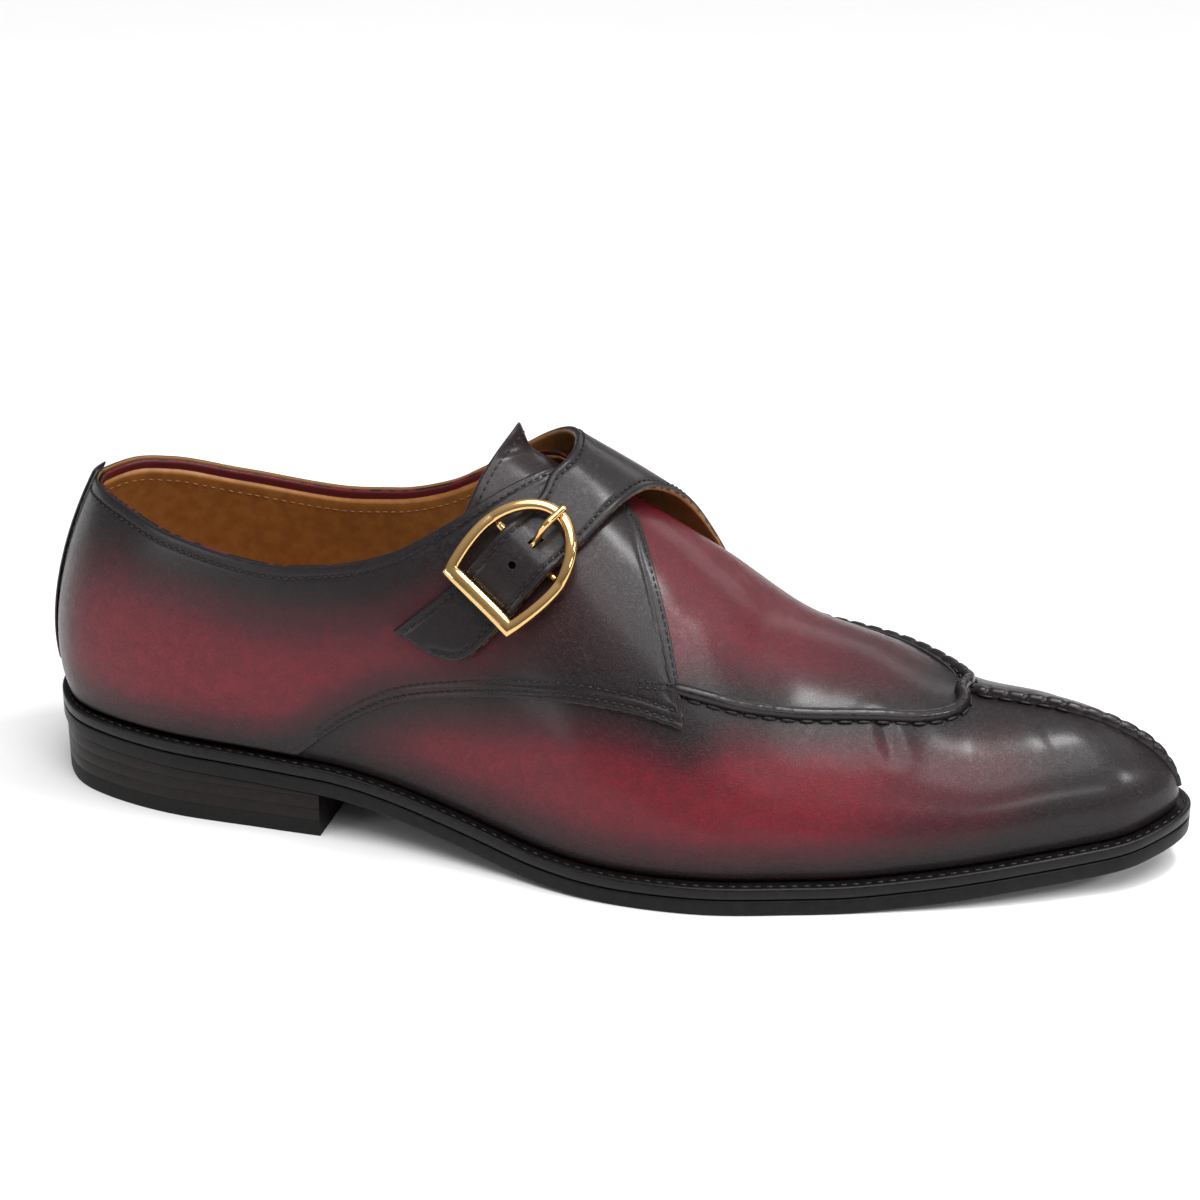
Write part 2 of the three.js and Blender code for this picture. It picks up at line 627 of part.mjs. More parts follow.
// Straight box or pin along the touching plane's normal, for the holes of the strap.
function holeCutter(alpha, shape) {
  const geometry = shape.clone();
  const foot = atBuckle(alpha, 0, overPost + strapLeather / 2);
  const normal = atBuckle(alpha, 0, overPost + strapLeather / 2 + 1).sub(foot).normalize();
  const along = alphaAxis.clone().projectOnPlane(normal).normalize();
  const frame = new THREE.Matrix4().makeBasis(along, normal.clone().cross(along), normal).setPosition(foot);
  return asSolid(geometry.applyMatrix4(frame));
}
const slot = new THREE.BoxGeometry(slotLength, slotWidth, strapLeather * 4);
const slotMiddle = -(postBack + slotLength * 0.1);
band = band.subtract(holeCutter(slotMiddle, slot));
const pin = new THREE.CylinderGeometry(spareHole / 2, spareHole / 2, strapLeather * 4, 10).rotateX(Math.PI / 2);
band = band.subtract(holeCutter(-spareHoleBack, pin));
add("quarter_inner_strap", asGeometry(band), 0x3a1516, 0.4);

// Tongue: under the collar's edge, rising free of the last at its rear end.
const tongueRows = spread(0, 1, 11);
const tongueSides = spread(-0.46, 0.46, 12);
const tongueRear = (side) => 5.86 - 0.95 * (Math.hypot(side, 0.06) - 0.06);
const tongueFront = 7.6;
const tongueSeat = -(upperWall + tongueClearance);
function tongueGrid(skin) {
  return tongueSides.map((side) =>
    tongueRows.map((s) => {
      const rib = tongueRear(side) + s * (tongueFront - tongueRear(side));
      const clear = 1 - Math.abs(side) - collar(rib) - 0.13;
      const free = ease(clear / 0.16) * ease((throatRib - 0.2 - rib) / 0.5);
      return over(rib, side, tongueSeat + free * (tongueRise - tongueSeat) - (1 - skin) * tongueLeather);
    }),
  );
}
add("tongue", solidBetween(tongueGrid(1), tongueGrid(0)), 0x2c1212, 0.42);

// Raised seam along a line on the last, with a flat foot and a rounded back.
function seam(line, base) {
  const rows = line.map((p, i) => {
    const here = over(p.rib, p.side, base);
    const up = over(p.rib, p.side, base + 1).sub(here).normalize();
    const a = line[Math.max(i - 1, 0)];
    const b = line[Math.min(i + 1, line.length - 1)];
    const along = over(b.rib, b.side, base).sub(over(a.rib, a.side, base)).projectOnPlane(up).normalize();
    const across = along.clone().cross(up);
    const at = (w, h) => here.clone().addScaledVector(across, w * seamWidth).addScaledVector(up, h * seamHeight);
    return {
      top: [at(-0.5, 0.25), at(-0.4, 0.72), at(-0.16, 1), at(0.16, 1), at(0.4, 0.72), at(0.5, 0.25)],
      foot: [at(-0.5, 0), at(-0.4, 0), at(-0.16, 0), at(0.16, 0), at(0.4, 0), at(0.5, 0)],
    };
  });
  return solidBetween(
    rows.map((row) => row.top),
    rows.map((row) => row.foot),
  );
}
const seamSeat = seatGap + 0.15;
function runAlong(line, parts) {
  const n = line.length;
  return spread(0, n - 1, (n - 1) * parts).map((place) => {
    const pick = (name) => {
      const values = line.map((p) => p[name]);
      return smooth(values, place, 2 * values[0] - values[1], 2 * values[n - 1] - values[n - 2]);
    };
    return { rib: pick("rib"), side: pick("side") };
  });
}
add("apron_seam", seam(runAlong(apronSeam, 2), seamSeat), 0x150f10, 0.4);
const apronTip = apronSeam.find((p) => p.side === 0);
const ridgeRun = (rib) => over(rib, 0, 0).distanceTo(over(apronTip.rib, 0, 0));
let toeStart = apronTip.rib;
while (ridgeRun(toeStart) < seamWidth * 0.7 + seatGap) toeStart += 0.01;
const toeLine = [
  ...spread(toeStart, lastRib, 9).map((rib) => ({ rib, side: 0 })),
  ...spread(0.06, 0.84, 9).map((side) => ({ rib: lastRib, side: -side })),
];
add("toe_seam", seam(toeLine, seamSeat), 0x150f10, 0.4);

// Strip over the seam at the heel's back.
const stripHalf = stripWidth / 2 / lastPoint(0, false, 0.4).distanceTo(lastPoint(1, false, 0.4));
const stripColumns = spread(0.13, 1, 12);
function stripRows(height) {
  return spread(-stripHalf, stripHalf, 4).map((turn) =>
    stripColumns.map((s) => over(Math.abs(turn), turn < 0 ? 1 - s * collar(0) : s * collar(0) - 1, height)),
  );
}
const stripSeat = quarterHigh + seatGap + 0.15;
add("back_strip", solidBetween(stripRows(stripSeat + stripLeather), stripRows(stripSeat)), 0x120e0f, 0.4);

// Buckle: a D of wire, straight bar towards the strap's tip, its post under the strap.
const wire = buckleWire / 2;
const postHeight = strapSeat + postWire / 2;
const sideHeight = overPost + 0.6 * postWire;
const barHeight = strapSeat + strapLeather + seatGap + wire + 0.25;
const archHeight = barHeight + 0.85 * postWire;
const barAt = buckleBar - wire;
const archAt = -(buckleArch - wire);
const bellyAt = buckleBelly / 2 - wire;
const cornerAt = buckleWidth / 2 - wire;
function frameHeight(alpha) {
  if (alpha > -postBack) return sideHeight + (barHeight - sideHeight) * ((alpha + postBack) / (barAt + postBack)) ** 1.2;
  return sideHeight + (archHeight - sideHeight) * ((-postBack - alpha) / (-postBack - archAt)) ** 0.8;
}
const archSteps = 12;
const outline = [
  ...spread(-cornerAt, cornerAt, 4).map((beta) => [barAt, beta]),
  ...spread(0, 1, 4).slice(1).map((s) => [barAt - s * (barAt + postBack * 0.5), cornerAt + (bellyAt - cornerAt) * Math.sin((s * Math.PI) / 2)]),
  ...spread(0, Math.PI, archSteps).slice(1, -1).map((turn) => [-postBack * 0.5 + (archAt + postBack * 0.5) * Math.sin(turn), bellyAt * Math.cos(turn)]),
  ...spread(1, 0, 4).slice(0, -1).map((s) => [barAt - s * (barAt + postBack * 0.5), -cornerAt - (bellyAt - cornerAt) * Math.sin((s * Math.PI) / 2)]),
];
const wirePath = outline.map(([alpha, beta]) => {
  const height = frameHeight(alpha);
  const point = atBuckle(alpha, beta, height);
  return { point, up: atBuckle(alpha, beta, height + 1).sub(point).normalize() };
});

// Rod of a radius round each point of a path, as rings of points with mitred corners.
function rod(path, radius, ring, sides = 8) {
  const n = path.length;
  const rows = path.map(({ point, up }, i) => {
    const before = ring ? path[(i + n - 1) % n].point : path[Math.max(i - 1, 0)].point;
    const after = ring ? path[(i + 1) % n].point : path[Math.min(i + 1, n - 1)].point;
    const a = point.clone().sub(before).normalize();
    const b = after.clone().sub(point).normalize();
    const along = a.clone().add(b).normalize();
    const across = along.clone().cross(up).normalize();
    const top = across.clone().cross(along);
    const stretch = a.lengthSq() > 0.5 && b.lengthSq() > 0.5 ? 1 / Math.max(Math.cos(a.angleTo(b) / 2), 0.5) : 1;
    const r = typeof radius === "function" ? radius(i / (n - 1)) : radius;
    return spread(0, 2 * Math.PI, sides).slice(0, -1).map((turn) =>
      point.clone().addScaledVector(across, Math.cos(turn) * r * stretch).addScaledVector(top, Math.sin(turn) * r),
    );
  });
  const points = rows.flat();
  const faces = [];
  const last = ring ? n : n - 1;
  for (let i = 0; i < last; i++) {
    for (let k = 0; k < sides; k++) {
      const a = i * sides + k;
      const b = i * sides + ((k + 1) % sides);
      const c = ((i + 1) % n) * sides + ((k + 1) % sides);
      const d = ((i + 1) % n) * sides + k;
      faces.push([a, b, c, d]);
    }
  }
  if (!ring) {
    for (let k = 1; k < sides - 1; k++) {
      faces.push([0, k + 1, k]);
      const e = (n - 1) * sides;
      faces.push([e, e + k, e + k + 1]);
    }
  }
  return closed(points, faces);
}
const sideBeta = (alpha) => bellyAt * Math.sqrt(Math.max(0, 1 - ((alpha + postBack * 0.5) / (archAt + postBack * 0.5)) ** 2));
const postReach = sideBeta(-postBack);
const postPath = spread(-postReach, postReach, 8).map((beta) => {
  const point = atBuckle(-postBack, beta, postHeight + (sideHeight - postHeight) * (Math.abs(beta) / postReach) ** 16);
  return { point, up: spotNormal };
});
const buckle = asSolid(rod(wirePath, wire, true)).add(asSolid(rod(postPath, postWire / 2, false)));
add("buckle", asGeometry(buckle), 0xd9a650, 0.18, 1);

// Prong: hooked over the post, up through the strap's hole and down on the arch.
const prong = prongWire / 2;
const hook = postWire / 2 + seatGap + prong * 0.8;
const onArch = archHeight + wire + seatGap + prong;
const prongLine = [
  [-postBack + hook, postHeight - postWire * 0.1],
  [-postBack + hook * 0.75, postHeight + hook * 0.75],
  [-postBack - hook * 0.2, postHeight + hook * 1.15],
  [-postBack - hook * 1.3, overPost + strapLeather * 0.7],
  [-(postBack + buckleArch) / 2, onArch - 0.1],
  [archAt * 0.93, onArch + 0.15],
  [-buckleArch * 0.97, onArch],
];
const prongPath = prongLine.map(([alpha, height]) => {
  const point = atBuckle(alpha, 0, height);
  return { point, up: spotNormal };
});
add("buckle_prong", rod(prongPath, (s) => prong * (s < 0.45 ? 0.8 : 1), false), 0xd9a650, 0.2, 1);

// The part's origin is the middle of the heel's flat base.
shoe.position.set(-heelLength / 2, 0, 0);

export default shoe;
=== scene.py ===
import math

import bmesh
import bpy
import numpy as np
from mathutils import Matrix, Vector


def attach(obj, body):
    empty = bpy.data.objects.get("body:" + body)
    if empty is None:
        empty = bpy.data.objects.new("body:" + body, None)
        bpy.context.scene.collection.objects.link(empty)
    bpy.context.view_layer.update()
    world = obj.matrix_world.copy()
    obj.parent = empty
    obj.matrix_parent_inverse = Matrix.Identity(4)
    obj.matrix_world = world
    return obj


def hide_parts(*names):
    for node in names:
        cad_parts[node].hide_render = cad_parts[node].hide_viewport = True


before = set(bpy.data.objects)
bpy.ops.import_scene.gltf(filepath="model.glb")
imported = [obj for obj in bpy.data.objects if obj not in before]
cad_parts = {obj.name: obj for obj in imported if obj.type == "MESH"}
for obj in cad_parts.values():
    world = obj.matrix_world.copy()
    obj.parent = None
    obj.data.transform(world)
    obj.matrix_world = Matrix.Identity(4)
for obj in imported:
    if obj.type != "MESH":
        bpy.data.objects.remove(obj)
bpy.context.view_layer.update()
print("frame loaded")

# Sizes in mm. X runs from the heel's back to the toe, Y to the inner side of the foot, Z up.
shoe = {
    "length": 310, "ball": 100, "height": 100, "heelHeight": 16, "heelLength": 86, "toeSpring": 9.6,
    "outsole": 4.2, "welt": 3.1, "ledge": 3.8, "gap": 0.35, "ballAt": 0.63,
}
lastLength = shoe["length"] - 2 * shoe["ledge"]
lastWidth = shoe["ball"] - 2 * shoe["ledge"]

# Underside of the outsole: share of the length, share of the heel height or the toe spring
soleProfile = [
    (0, 1), (0.278, 0.775), (0.34, 0.6), (0.403, 0.363), (0.484, 0.07), (0.555, 0), (0.63, 0),
    (0.72, 0), (0.79, 0.135), (0.871, 0.405), (0.942, 0.615), (1, 1),
]

# Ribs of the last, heel to toe, as shares of its length, width and height
ribNames = ("at", "outer", "inner", "crown", "top", "slope", "out", "up", "flat", "upInner", "flatInner")
ribRows = [
    (-0.001, 0, 0, 0.146, 0.97, 0.5, 0.114, 0.22, 0.325, 0.22, 0.325),
    (0.015, 0.151, 0.151, 0.153, 0.975, 0.45, 0.097, 0.23, 0.315, 0.23, 0.315),
    (0.05, 0.257, 0.251, 0.173, 0.98, 0.3, 0.076, 0.26, 0.292, 0.26, 0.292),
    (0.126, 0.338, 0.325, 0.206, 0.985, 0, 0.054, 0.3, 0.27, 0.3, 0.27),
    (0.226, 0.364, 0.335, 0.265, 0.98, -0.2, 0.043, 0.33, 0.292, 0.33, 0.292),
    (0.331, 0.39, 0.294, 0.345, 0.965, -0.4, 0.032, 0.33, 0.281, 0.33, 0.281),
    (0.434, 0.468, 0.284, 0.431, 0.912, -0.55, 0.027, 0.32, 0.27, 0.32, 0.27),
    (0.526, 0.552, 0.327, 0.51, 0.815, -0.62, 0.043, 0.3, 0.303, 0.3, 0.303),
    (0.616, 0.565, 0.411, 0.593, 0.663, -0.6, 0.049, 0.28, 0.325, 0.3, 0.33),
    (0.698, 0.506, 0.462, 0.665, 0.508, -0.36, 0.049, 0.24, 0.281, 0.265, 0.32),
    (0.781, 0.424, 0.449, 0.741, 0.437, -0.26, 0.043, 0.2, 0.235, 0.215, 0.27),
    (0.854, 0.34, 0.39, 0.804, 0.345, -0.4, 0.038, 0.18, 0.205, 0.18, 0.22),
    (0.92, 0.238, 0.298, 0.854, 0.312, -0.12, 0.038, 0.16, 0.184, 0.17, 0.19),
    (0.97, 0.141, 0.195, 0.89, 0.292, -0.1, 0.038, 0.13, 0.173, 0.13, 0.173),
    (1, -0.016, 0.016, 0.91, 0.275, -0.18, 0.032, 0.1, 0.173, 0.1, 0.173),
]
ribs = {name: np.array([row[i] for row in ribRows], float) for i, name in enumerate(ribNames)}
lastRib = len(ribRows) - 1

# Lines on the last: rib number and share of the way up it, or side (0 ridge, -1 outer, 1 inner)
topline = [
    (0, 0.585), (1, 0.57), (2, 0.53), (3, 0.462), (4, 0.428), (4.5, 0.447), (5, 0.505), (5.5, 0.62),
    (6, 0.785), (6.3, 0.9), (6.55, 1),
]
throatRib = 6.55
quarterFront = [
    (6.3, 0.9), (6.6, 0.962), (6.9, 0.97), (7.2, 0.93), (7.42, 0.805), (7.6, 0.683), (7.74, 0.565),
    (7.86, 0.43),
]
quarterArc = [
    (4.25, 0.012), (4.45, 0.067), (4.7, 0.13), (5.15, 0.213), (5.7, 0.279), (6.3, 0.34), (7, 0.393),
    (7.5, 0.412), (7.86, 0.414),
]
innerArc = [
    (4.25, 0.012), (4.45, 0.067), (4.7, 0.13), (5.15, 0.213), (5.7, 0.279), (6.3, 0.33), (7, 0.375),
    (7.6, 0.405),
]
apronSeam = [
    (7.99, -0.49), (8.3, -0.468), (8.8, -0.431), (9.3, -0.398), (9.83, -0.362), (10.28, -0.318),
    (10.71, -0.236), (11.02, -0.135), (11.12, 0), (11.02, 0.143), (10.71, 0.256), (10.28, 0.343),
    (9.83, 0.395), (9.3, 0.431), (8.8, 0.466), (8.3, 0.496), (8.09, 0.506),
]
apronTipRib = 11.12


def ease(s):
    c = np.clip(s, 0, 1)
    return c * c * (3 - 2 * c)


def unit(vectors):
    return vectors / np.linalg.norm(vectors, axis=-1, keepdims=True)


def track(rows, place):
    keys, values = np.array(rows, float).T
    steps = np.diff(values) / np.diff(keys)
    a, b = steps[:-1], steps[1:]
    mean = np.where(a * b > 0, 2 * a * b / np.where(a + b == 0, 1, a + b), 0)
    tangents = np.concatenate(([steps[0]], mean, [steps[-1]]))
    place = np.clip(np.asarray(place, float), keys[0], keys[-1])
    i = np.clip(np.searchsorted(keys, place) - 1, 0, len(keys) - 2)
    span = keys[i + 1] - keys[i]
    s = (place - keys[i]) / span
    va, vb = values[i], values[i + 1]
    ta, tb = tangents[i] * span, tangents[i + 1] * span
    return va + s * (ta + s * (3 * (vb - va) - 2 * ta - tb + s * (ta + tb - 2 * (vb - va))))


def smoothRun(values, place, before, after):
    padded = np.concatenate(([before], values, [after]))
    i = np.clip(np.floor(place).astype(int), 0, len(values) - 2)
    s = place - i
    a, b, c, d = (padded[i + k] for k in range(4))
    return 0.5 * (2 * b + (c - a) * s + (2 * a - 5 * b + 4 * c - d) * s * s + (3 * b - a - 3 * c + d) * s**3)


def underside(x):
    at = np.asarray(x, float) / shoe["length"]
    scale = np.where(at < shoe["ballAt"], shoe["heelHeight"], shoe["toeSpring"])
    return track(soleProfile, at) * scale


def soleTop(x):
    return underside(x) + shoe["outsole"]


def weltTop(x):
    return soleTop(x) + shoe["gap"] + shoe["welt"]


def featherTop(x):
    return weltTop(x) + shoe["gap"]


def ribValue(name, rib):
    return smoothRun(ribs[name], rib, ribs[name][1], ribs[name][-2])


def feather(rib, inner):
    outerY, innerY = -ribs["outer"], ribs["inner"]
    y = np.where(
        inner,
        smoothRun(innerY, rib, outerY[1], outerY[-2]),
        smoothRun(outerY, rib, innerY[1], innerY[-2]),
    )
    return shoe["ledge"] + lastLength * ribValue("at", rib), lastWidth * y


# Fall of the ridge: the table's over the heel, the ridge's own run over the vamp, so that it has no crease
def ridgeSlope(rib):
    step = 0.02
    a, b = np.maximum(rib - step, 0), np.minimum(rib + step, lastRib)
    run = shoe["ledge"] + lastLength * np.stack([ribValue("crown", a), ribValue("crown", b)])
    top = featherTop(run) + shoe["height"] * np.stack([ribValue("top", a), ribValue("top", b)])
    own = (top[1] - top[0]) / np.maximum(run[1] - run[0], 1e-6)
    share = ease((rib - 7.2) / 1.2) * ease((13.8 - rib) / 0.8)
    return ribValue("slope", rib) * (1 - share) + own * share


def lastPoint(rib, inner, up):
    x, y = feather(rib, inner)
    crownX = shoe["ledge"] + lastLength * ribValue("crown", rib)
    foot = np.stack([x, y, featherTop(x)], -1)
    crown = np.stack([crownX, 0 * x, featherTop(crownX) + shoe["height"] * ribValue("top", rib)], -1)
    away = unit(np.stack([x - crownX, y, 0 * x], -1))
    rise = shoe["height"] * np.where(inner, ribValue("upInner", rib), ribValue("up", rib))
    flat = lastWidth * np.where(inner, ribValue("flatInner", rib), ribValue("flat", rib))
    low = foot + away * (lastWidth * ribValue("out", rib))[..., None]
    low[..., 2] += rise
    high = crown + away * flat[..., None]
    high[..., 2] += ridgeSlope(rib) * (high[..., 0] - crownX)
    u = np.asarray(up, float)[..., None]
    v = 1 - u
    return foot * v**3 + 3 * low * u * v * v + 3 * high * u * u * v + crown * u**3


def sideNormal(rib, inner, up):
    step = 0.01
    top = np.minimum(up, np.where(rib > lastRib - 1.5, 0.97, 1))
    along = lastPoint(np.minimum(rib + step, lastRib), inner, top)
    along -= lastPoint(np.maximum(rib - step, 0), inner, top)
    climb = lastPoint(rib, inner, np.minimum(top + step, 1))
    climb -= lastPoint(rib, inner, np.maximum(top - step, 0))
    return unit(np.cross(along, climb) * np.where(inner, -1, 1)[..., None])


# Evening out across the vamp's ridge: steps to both sides, their weights, and where it fades
evenShifts = np.linspace(-0.07, 0.07, 15)
evenWeights = 0.125 * np.cos(evenShifts / 0.08 * math.pi / 2) ** 2
even = {"within": 0.12, "fade": 0.08, "firstRib": 6.7, "endRib": 13.6, "blend": 0.6}


# Point on the last and its normal there
def onLast(rib, side):
    rib, side = np.broadcast_arrays(np.asarray(rib, float), np.asarray(side, float))
    rib = np.clip(rib, 0, lastRib)
    inner = side > 0
    up = 1 - np.abs(side)
    normal = sideNormal(rib, inner, up)
    shared = (np.abs(side) < 1e-4) | (rib < 1e-4) | (rib > lastRib - 1e-4)
    normal = np.where(shared[..., None], normal + sideNormal(rib, ~inner, up), normal)
    point = lastPoint(rib, inner, up)
    soft = ease((even["within"] - np.abs(side)) / even["fade"])
    soft = soft * ease((rib - even["firstRib"]) / even["blend"])
    soft = soft * ease((even["endRib"] - rib) / even["blend"])
    close = soft > 0
    if close.any():
        evenPoint, evenNormal = 0, 0
        for shift, weight in zip(evenShifts, evenWeights):
            moved = side[close] + shift
            evenPoint = evenPoint + weight * lastPoint(rib[close], moved > 0, 1 - np.abs(moved))
            evenNormal = evenNormal + weight * sideNormal(rib[close], moved > 0, 1 - np.abs(moved))
        share = soft[close][..., None]
        point[close] += (evenPoint - point[close]) * share
        normal[close] = unit(normal[close]) * (1 - share) + evenNormal * share
    return point, unit(normal)


def over(rib, side, height):
    point, normal = onLast(rib, side)
    return point + normal * np.asarray(height, float)[..., None]


def collar(rib):
    return np.where(np.asarray(rib) >= throatRib, 1, track(topline, rib))


def planPoint(rib, inner, outwards):
    step = 0.02
    rib = np.asarray(rib, float)
    inner = np.broadcast_to(inner, rib.shape)
    x, y = feather(rib, inner)
    ax, ay = feather(np.maximum(rib - step, 0), inner)
    bx, by = feather(np.minimum(rib + step, lastRib), inner)
    nx, ny = by - ay, ax - bx
    nx, ny = np.where(inner, -nx, nx), np.where(inner, -ny, ny)
    ends = (rib < 1e-4) | (rib > lastRib - 1e-4)
    nx = np.where(rib < 1e-4, -1, np.where(rib > lastRib - 1e-4, 1, nx))
    ny = np.where(ends, 0, ny)
    size = np.hypot(nx, ny)
    return np.stack([x + nx / size * outwards, y + ny / size * outwards], -1)


# Least distance from each point to a line of points, in mm
def distanceTo(points, line):
    flat = points.reshape(-1, 3)
    least = np.full(len(flat), 1e9)
    for start in range(0, len(flat), 4000):
        part = flat[start : start + 4000]
        gap = ((part[:, None, :] - line[None, :, :]) ** 2).sum(-1)
        least[start : start + 4000] = np.sqrt(gap.min(1))
    return least.reshape(points.shape[:-1])


def near(points, line, reach):
    return np.exp(-((distanceTo(points, line) / reach) ** 2))


# Darkness round lines, each with its strength and its reach in mm, joined with other masks
def burnish(base, rows, *masks):
    clear = 1.0
    for mask in [strength * near(base, lines[line], reach) for line, strength, reach in rows] + list(masks):
        clear = clear * (1 - mask)
    return 1 - clear


def runAlong(rows, count):
    place = np.linspace(0, len(rows) - 1, count)
    columns = np.array(rows, float).T
    return [smoothRun(c, place, 2 * c[0] - c[1], 2 * c[-1] - c[-2]) for c in columns]


collarRibs = np.linspace(0, throatRib, 160)
featherRibs = np.linspace(0, lastRib, 240)
arcRibs = np.linspace(4.25, 7.86, 120)
frontRibs = np.linspace(6.3, 7.86, 80)
lines = {
    "collar": np.concatenate([
        over(collarRibs, collar(collarRibs) - 1, 0), over(collarRibs, 1 - collar(collarRibs), 0),
    ]),
    "feather": np.concatenate([over(featherRibs, -1, 0), over(featherRibs, 1, 0)]),
    "arc": over(arcRibs, track(quarterArc, arcRibs) - 1, 0),
    "innerArc": over(arcRibs, 1 - track(innerArc, arcRibs), 0),
    "front": over(frontRibs, track(quarterFront, frontRibs) - 1, 0),
    "apron": over(*runAlong(apronSeam, 260), 0),
    "toe": over(np.linspace(apronTipRib, lastRib, 60), 0, 0),
    "heel": over(0, np.linspace(-1, topline[0][1] - 1, 60), 0),
}
print("last ready")


def rowFrame(points):
    return (points - np.array([shoe["heelLength"] / 2, 0, 0])) / 1000


# Grid of rows x columns vertices, moved to the given points, with the given values as attributes
def gridMesh(points, values=None):
    rows, columns = points.shape[:2]
    bm = bmesh.new()
    bm.loops.layers.uv.new("UVMap")
    bmesh.ops.create_grid(bm, x_segments=rows - 1, y_segments=columns - 1, size=1, calc_uvs=True)
    places = rowFrame(points)
    layers = {name: bm.verts.layers.float.new(name) for name in (values or {})}
    for vert in bm.verts:
        i = round((vert.co.x + 1) / 2 * (rows - 1))
        j = round((vert.co.y + 1) / 2 * (columns - 1))
        vert.co = places[i, j]
        for name, layer in layers.items():
            vert[layer] = float(values[name][i, j])
    return bm


# Doubles merged, ends capped if asked, faces left inside taken out, the rest turned outwards
def closeUp(bm, capEnds=False):
    bmesh.ops.remove_doubles(bm, verts=bm.verts, dist=2e-6)
    if capEnds:
        bmesh.ops.holes_fill(bm, edges=[e for e in bm.edges if len(e.link_faces) == 1])
        bmesh.ops.remove_doubles(bm, verts=bm.verts, dist=2e-6)
    inside = [f for f in bm.faces if sum(len(e.link_faces) > 2 for e in f.edges) > 1]
    if inside:
        bmesh.ops.delete(bm, geom=inside, context="FACES")
    if any(f.calc_area() < 1e-13 for f in bm.faces):
        bmesh.ops.dissolve_degenerate(bm, edges=bm.edges, dist=1e-7)
    bmesh.ops.recalc_face_normals(bm, faces=bm.faces)
    return bm


def meshOf(bm, name):
    mesh = bpy.data.meshes.new(name)
    bm.to_mesh(mesh)
    bm.free()
    return mesh


def shown(name, data):
    obj = bpy.data.objects.new(name, data)
    bpy.context.scene.collection.objects.link(obj)
    return obj


def piece(bm, name, nodes, finish):
    obj = shown(name, meshOf(bm, name))
    obj.data.shade_smooth()
    obj.data.materials.append(materials[finish])
    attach(obj, "root")
    if nodes:
        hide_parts(*nodes)
    return obj


def smoothByAngle(obj, degrees):
    bm = bmesh.new()
    bm.from_mesh(obj.data)
    for edge in bm.edges:
        if len(edge.link_faces) == 2 and edge.calc_face_angle(0) > math.radians(degrees):
            edge.smooth = False
    bm.to_mesh(obj.data)
    bm.free()


# Share of a leather's full thickness at a distance from its rounded rim
def rounded(away, roll):
    return np.sqrt(np.clip(1 - (1 - np.clip(away / roll, 0, 1)) ** 2, 0, 1))


# Grooves that rows of stitches pull, at distances in mm from their lines
def sewnGroove(base, spans):
    depth = 0
    for line, distances in spans:
        away = distanceTo(base, lines[line])
        for distance in distances:
            depth = depth + np.exp(-(((away - distance) / 0.5) ** 2))
    return -0.22 * np.minimum(depth, 1)


# The same value at each point, as the height of a face or as its darkness
def evenly(value):
    return lambda *at: value + 0 * at[1]


# Steps inwards from a panel's rim in mm, closer where the rim is rounded
edgeSteps = np.array([0, 0.1, 0.28, 0.55, 0.9, 1.4, 1.8, 2.2, 2.6, 3.0, 3.4, 3.9, 4.5])


# Closed leather panel over the last. chart(u, s) gives rib and side, low and high its two faces.
def panel(us, inside, chart, low, high, roll, dark, grooves=None):
    trace = onLast(*chart(us[:, None], np.linspace(0, 1, 60)[None]))[0]
    shares = []
    for width in np.linalg.norm(np.diff(trace, axis=1), axis=-1).sum(1):
        steps = edgeSteps * min(1, width / 12) / max(width, 0.01)
        middle = np.linspace(steps[-1], 1 - steps[-1], inside)
        shares.append(np.concatenate([steps[:-1], middle, 1 - steps[-2::-1]]))
    rib, side = np.broadcast_arrays(*chart(us[:, None], np.array(shares)))
    base, normal = onLast(rib, side)
    k = rounded(distanceTo(base, np.concatenate([base[:, 0], base[:, -1], base[0], base[-1]])), roll)
    k[:, 0] = k[:, -1] = 0
    k[0] = k[-1] = 0
    lowHeight, highHeight = low(rib, side, us[:, None]), high(rib, side, us[:, None])
    middle = (lowHeight + highHeight) / 2
    top = middle + (highHeight - middle) * k
    bottom = middle - (middle - lowHeight) * k
    if grooves:
        top = top + sewnGroove(base, grooves) * k
    mask = dark(base, rib, side)
    points = [base + normal * top[..., None], (base + normal * bottom[..., None])[:, -2::-1]]
    patina = np.concatenate([mask, mask[:, -2::-1]], 1)
    under = np.concatenate([0 * mask, 1 + 0 * mask[:, -2::-1]], 1)
    return closeUp(gridMesh(np.concatenate(points, 1), {"patina": patina, "under": under}))


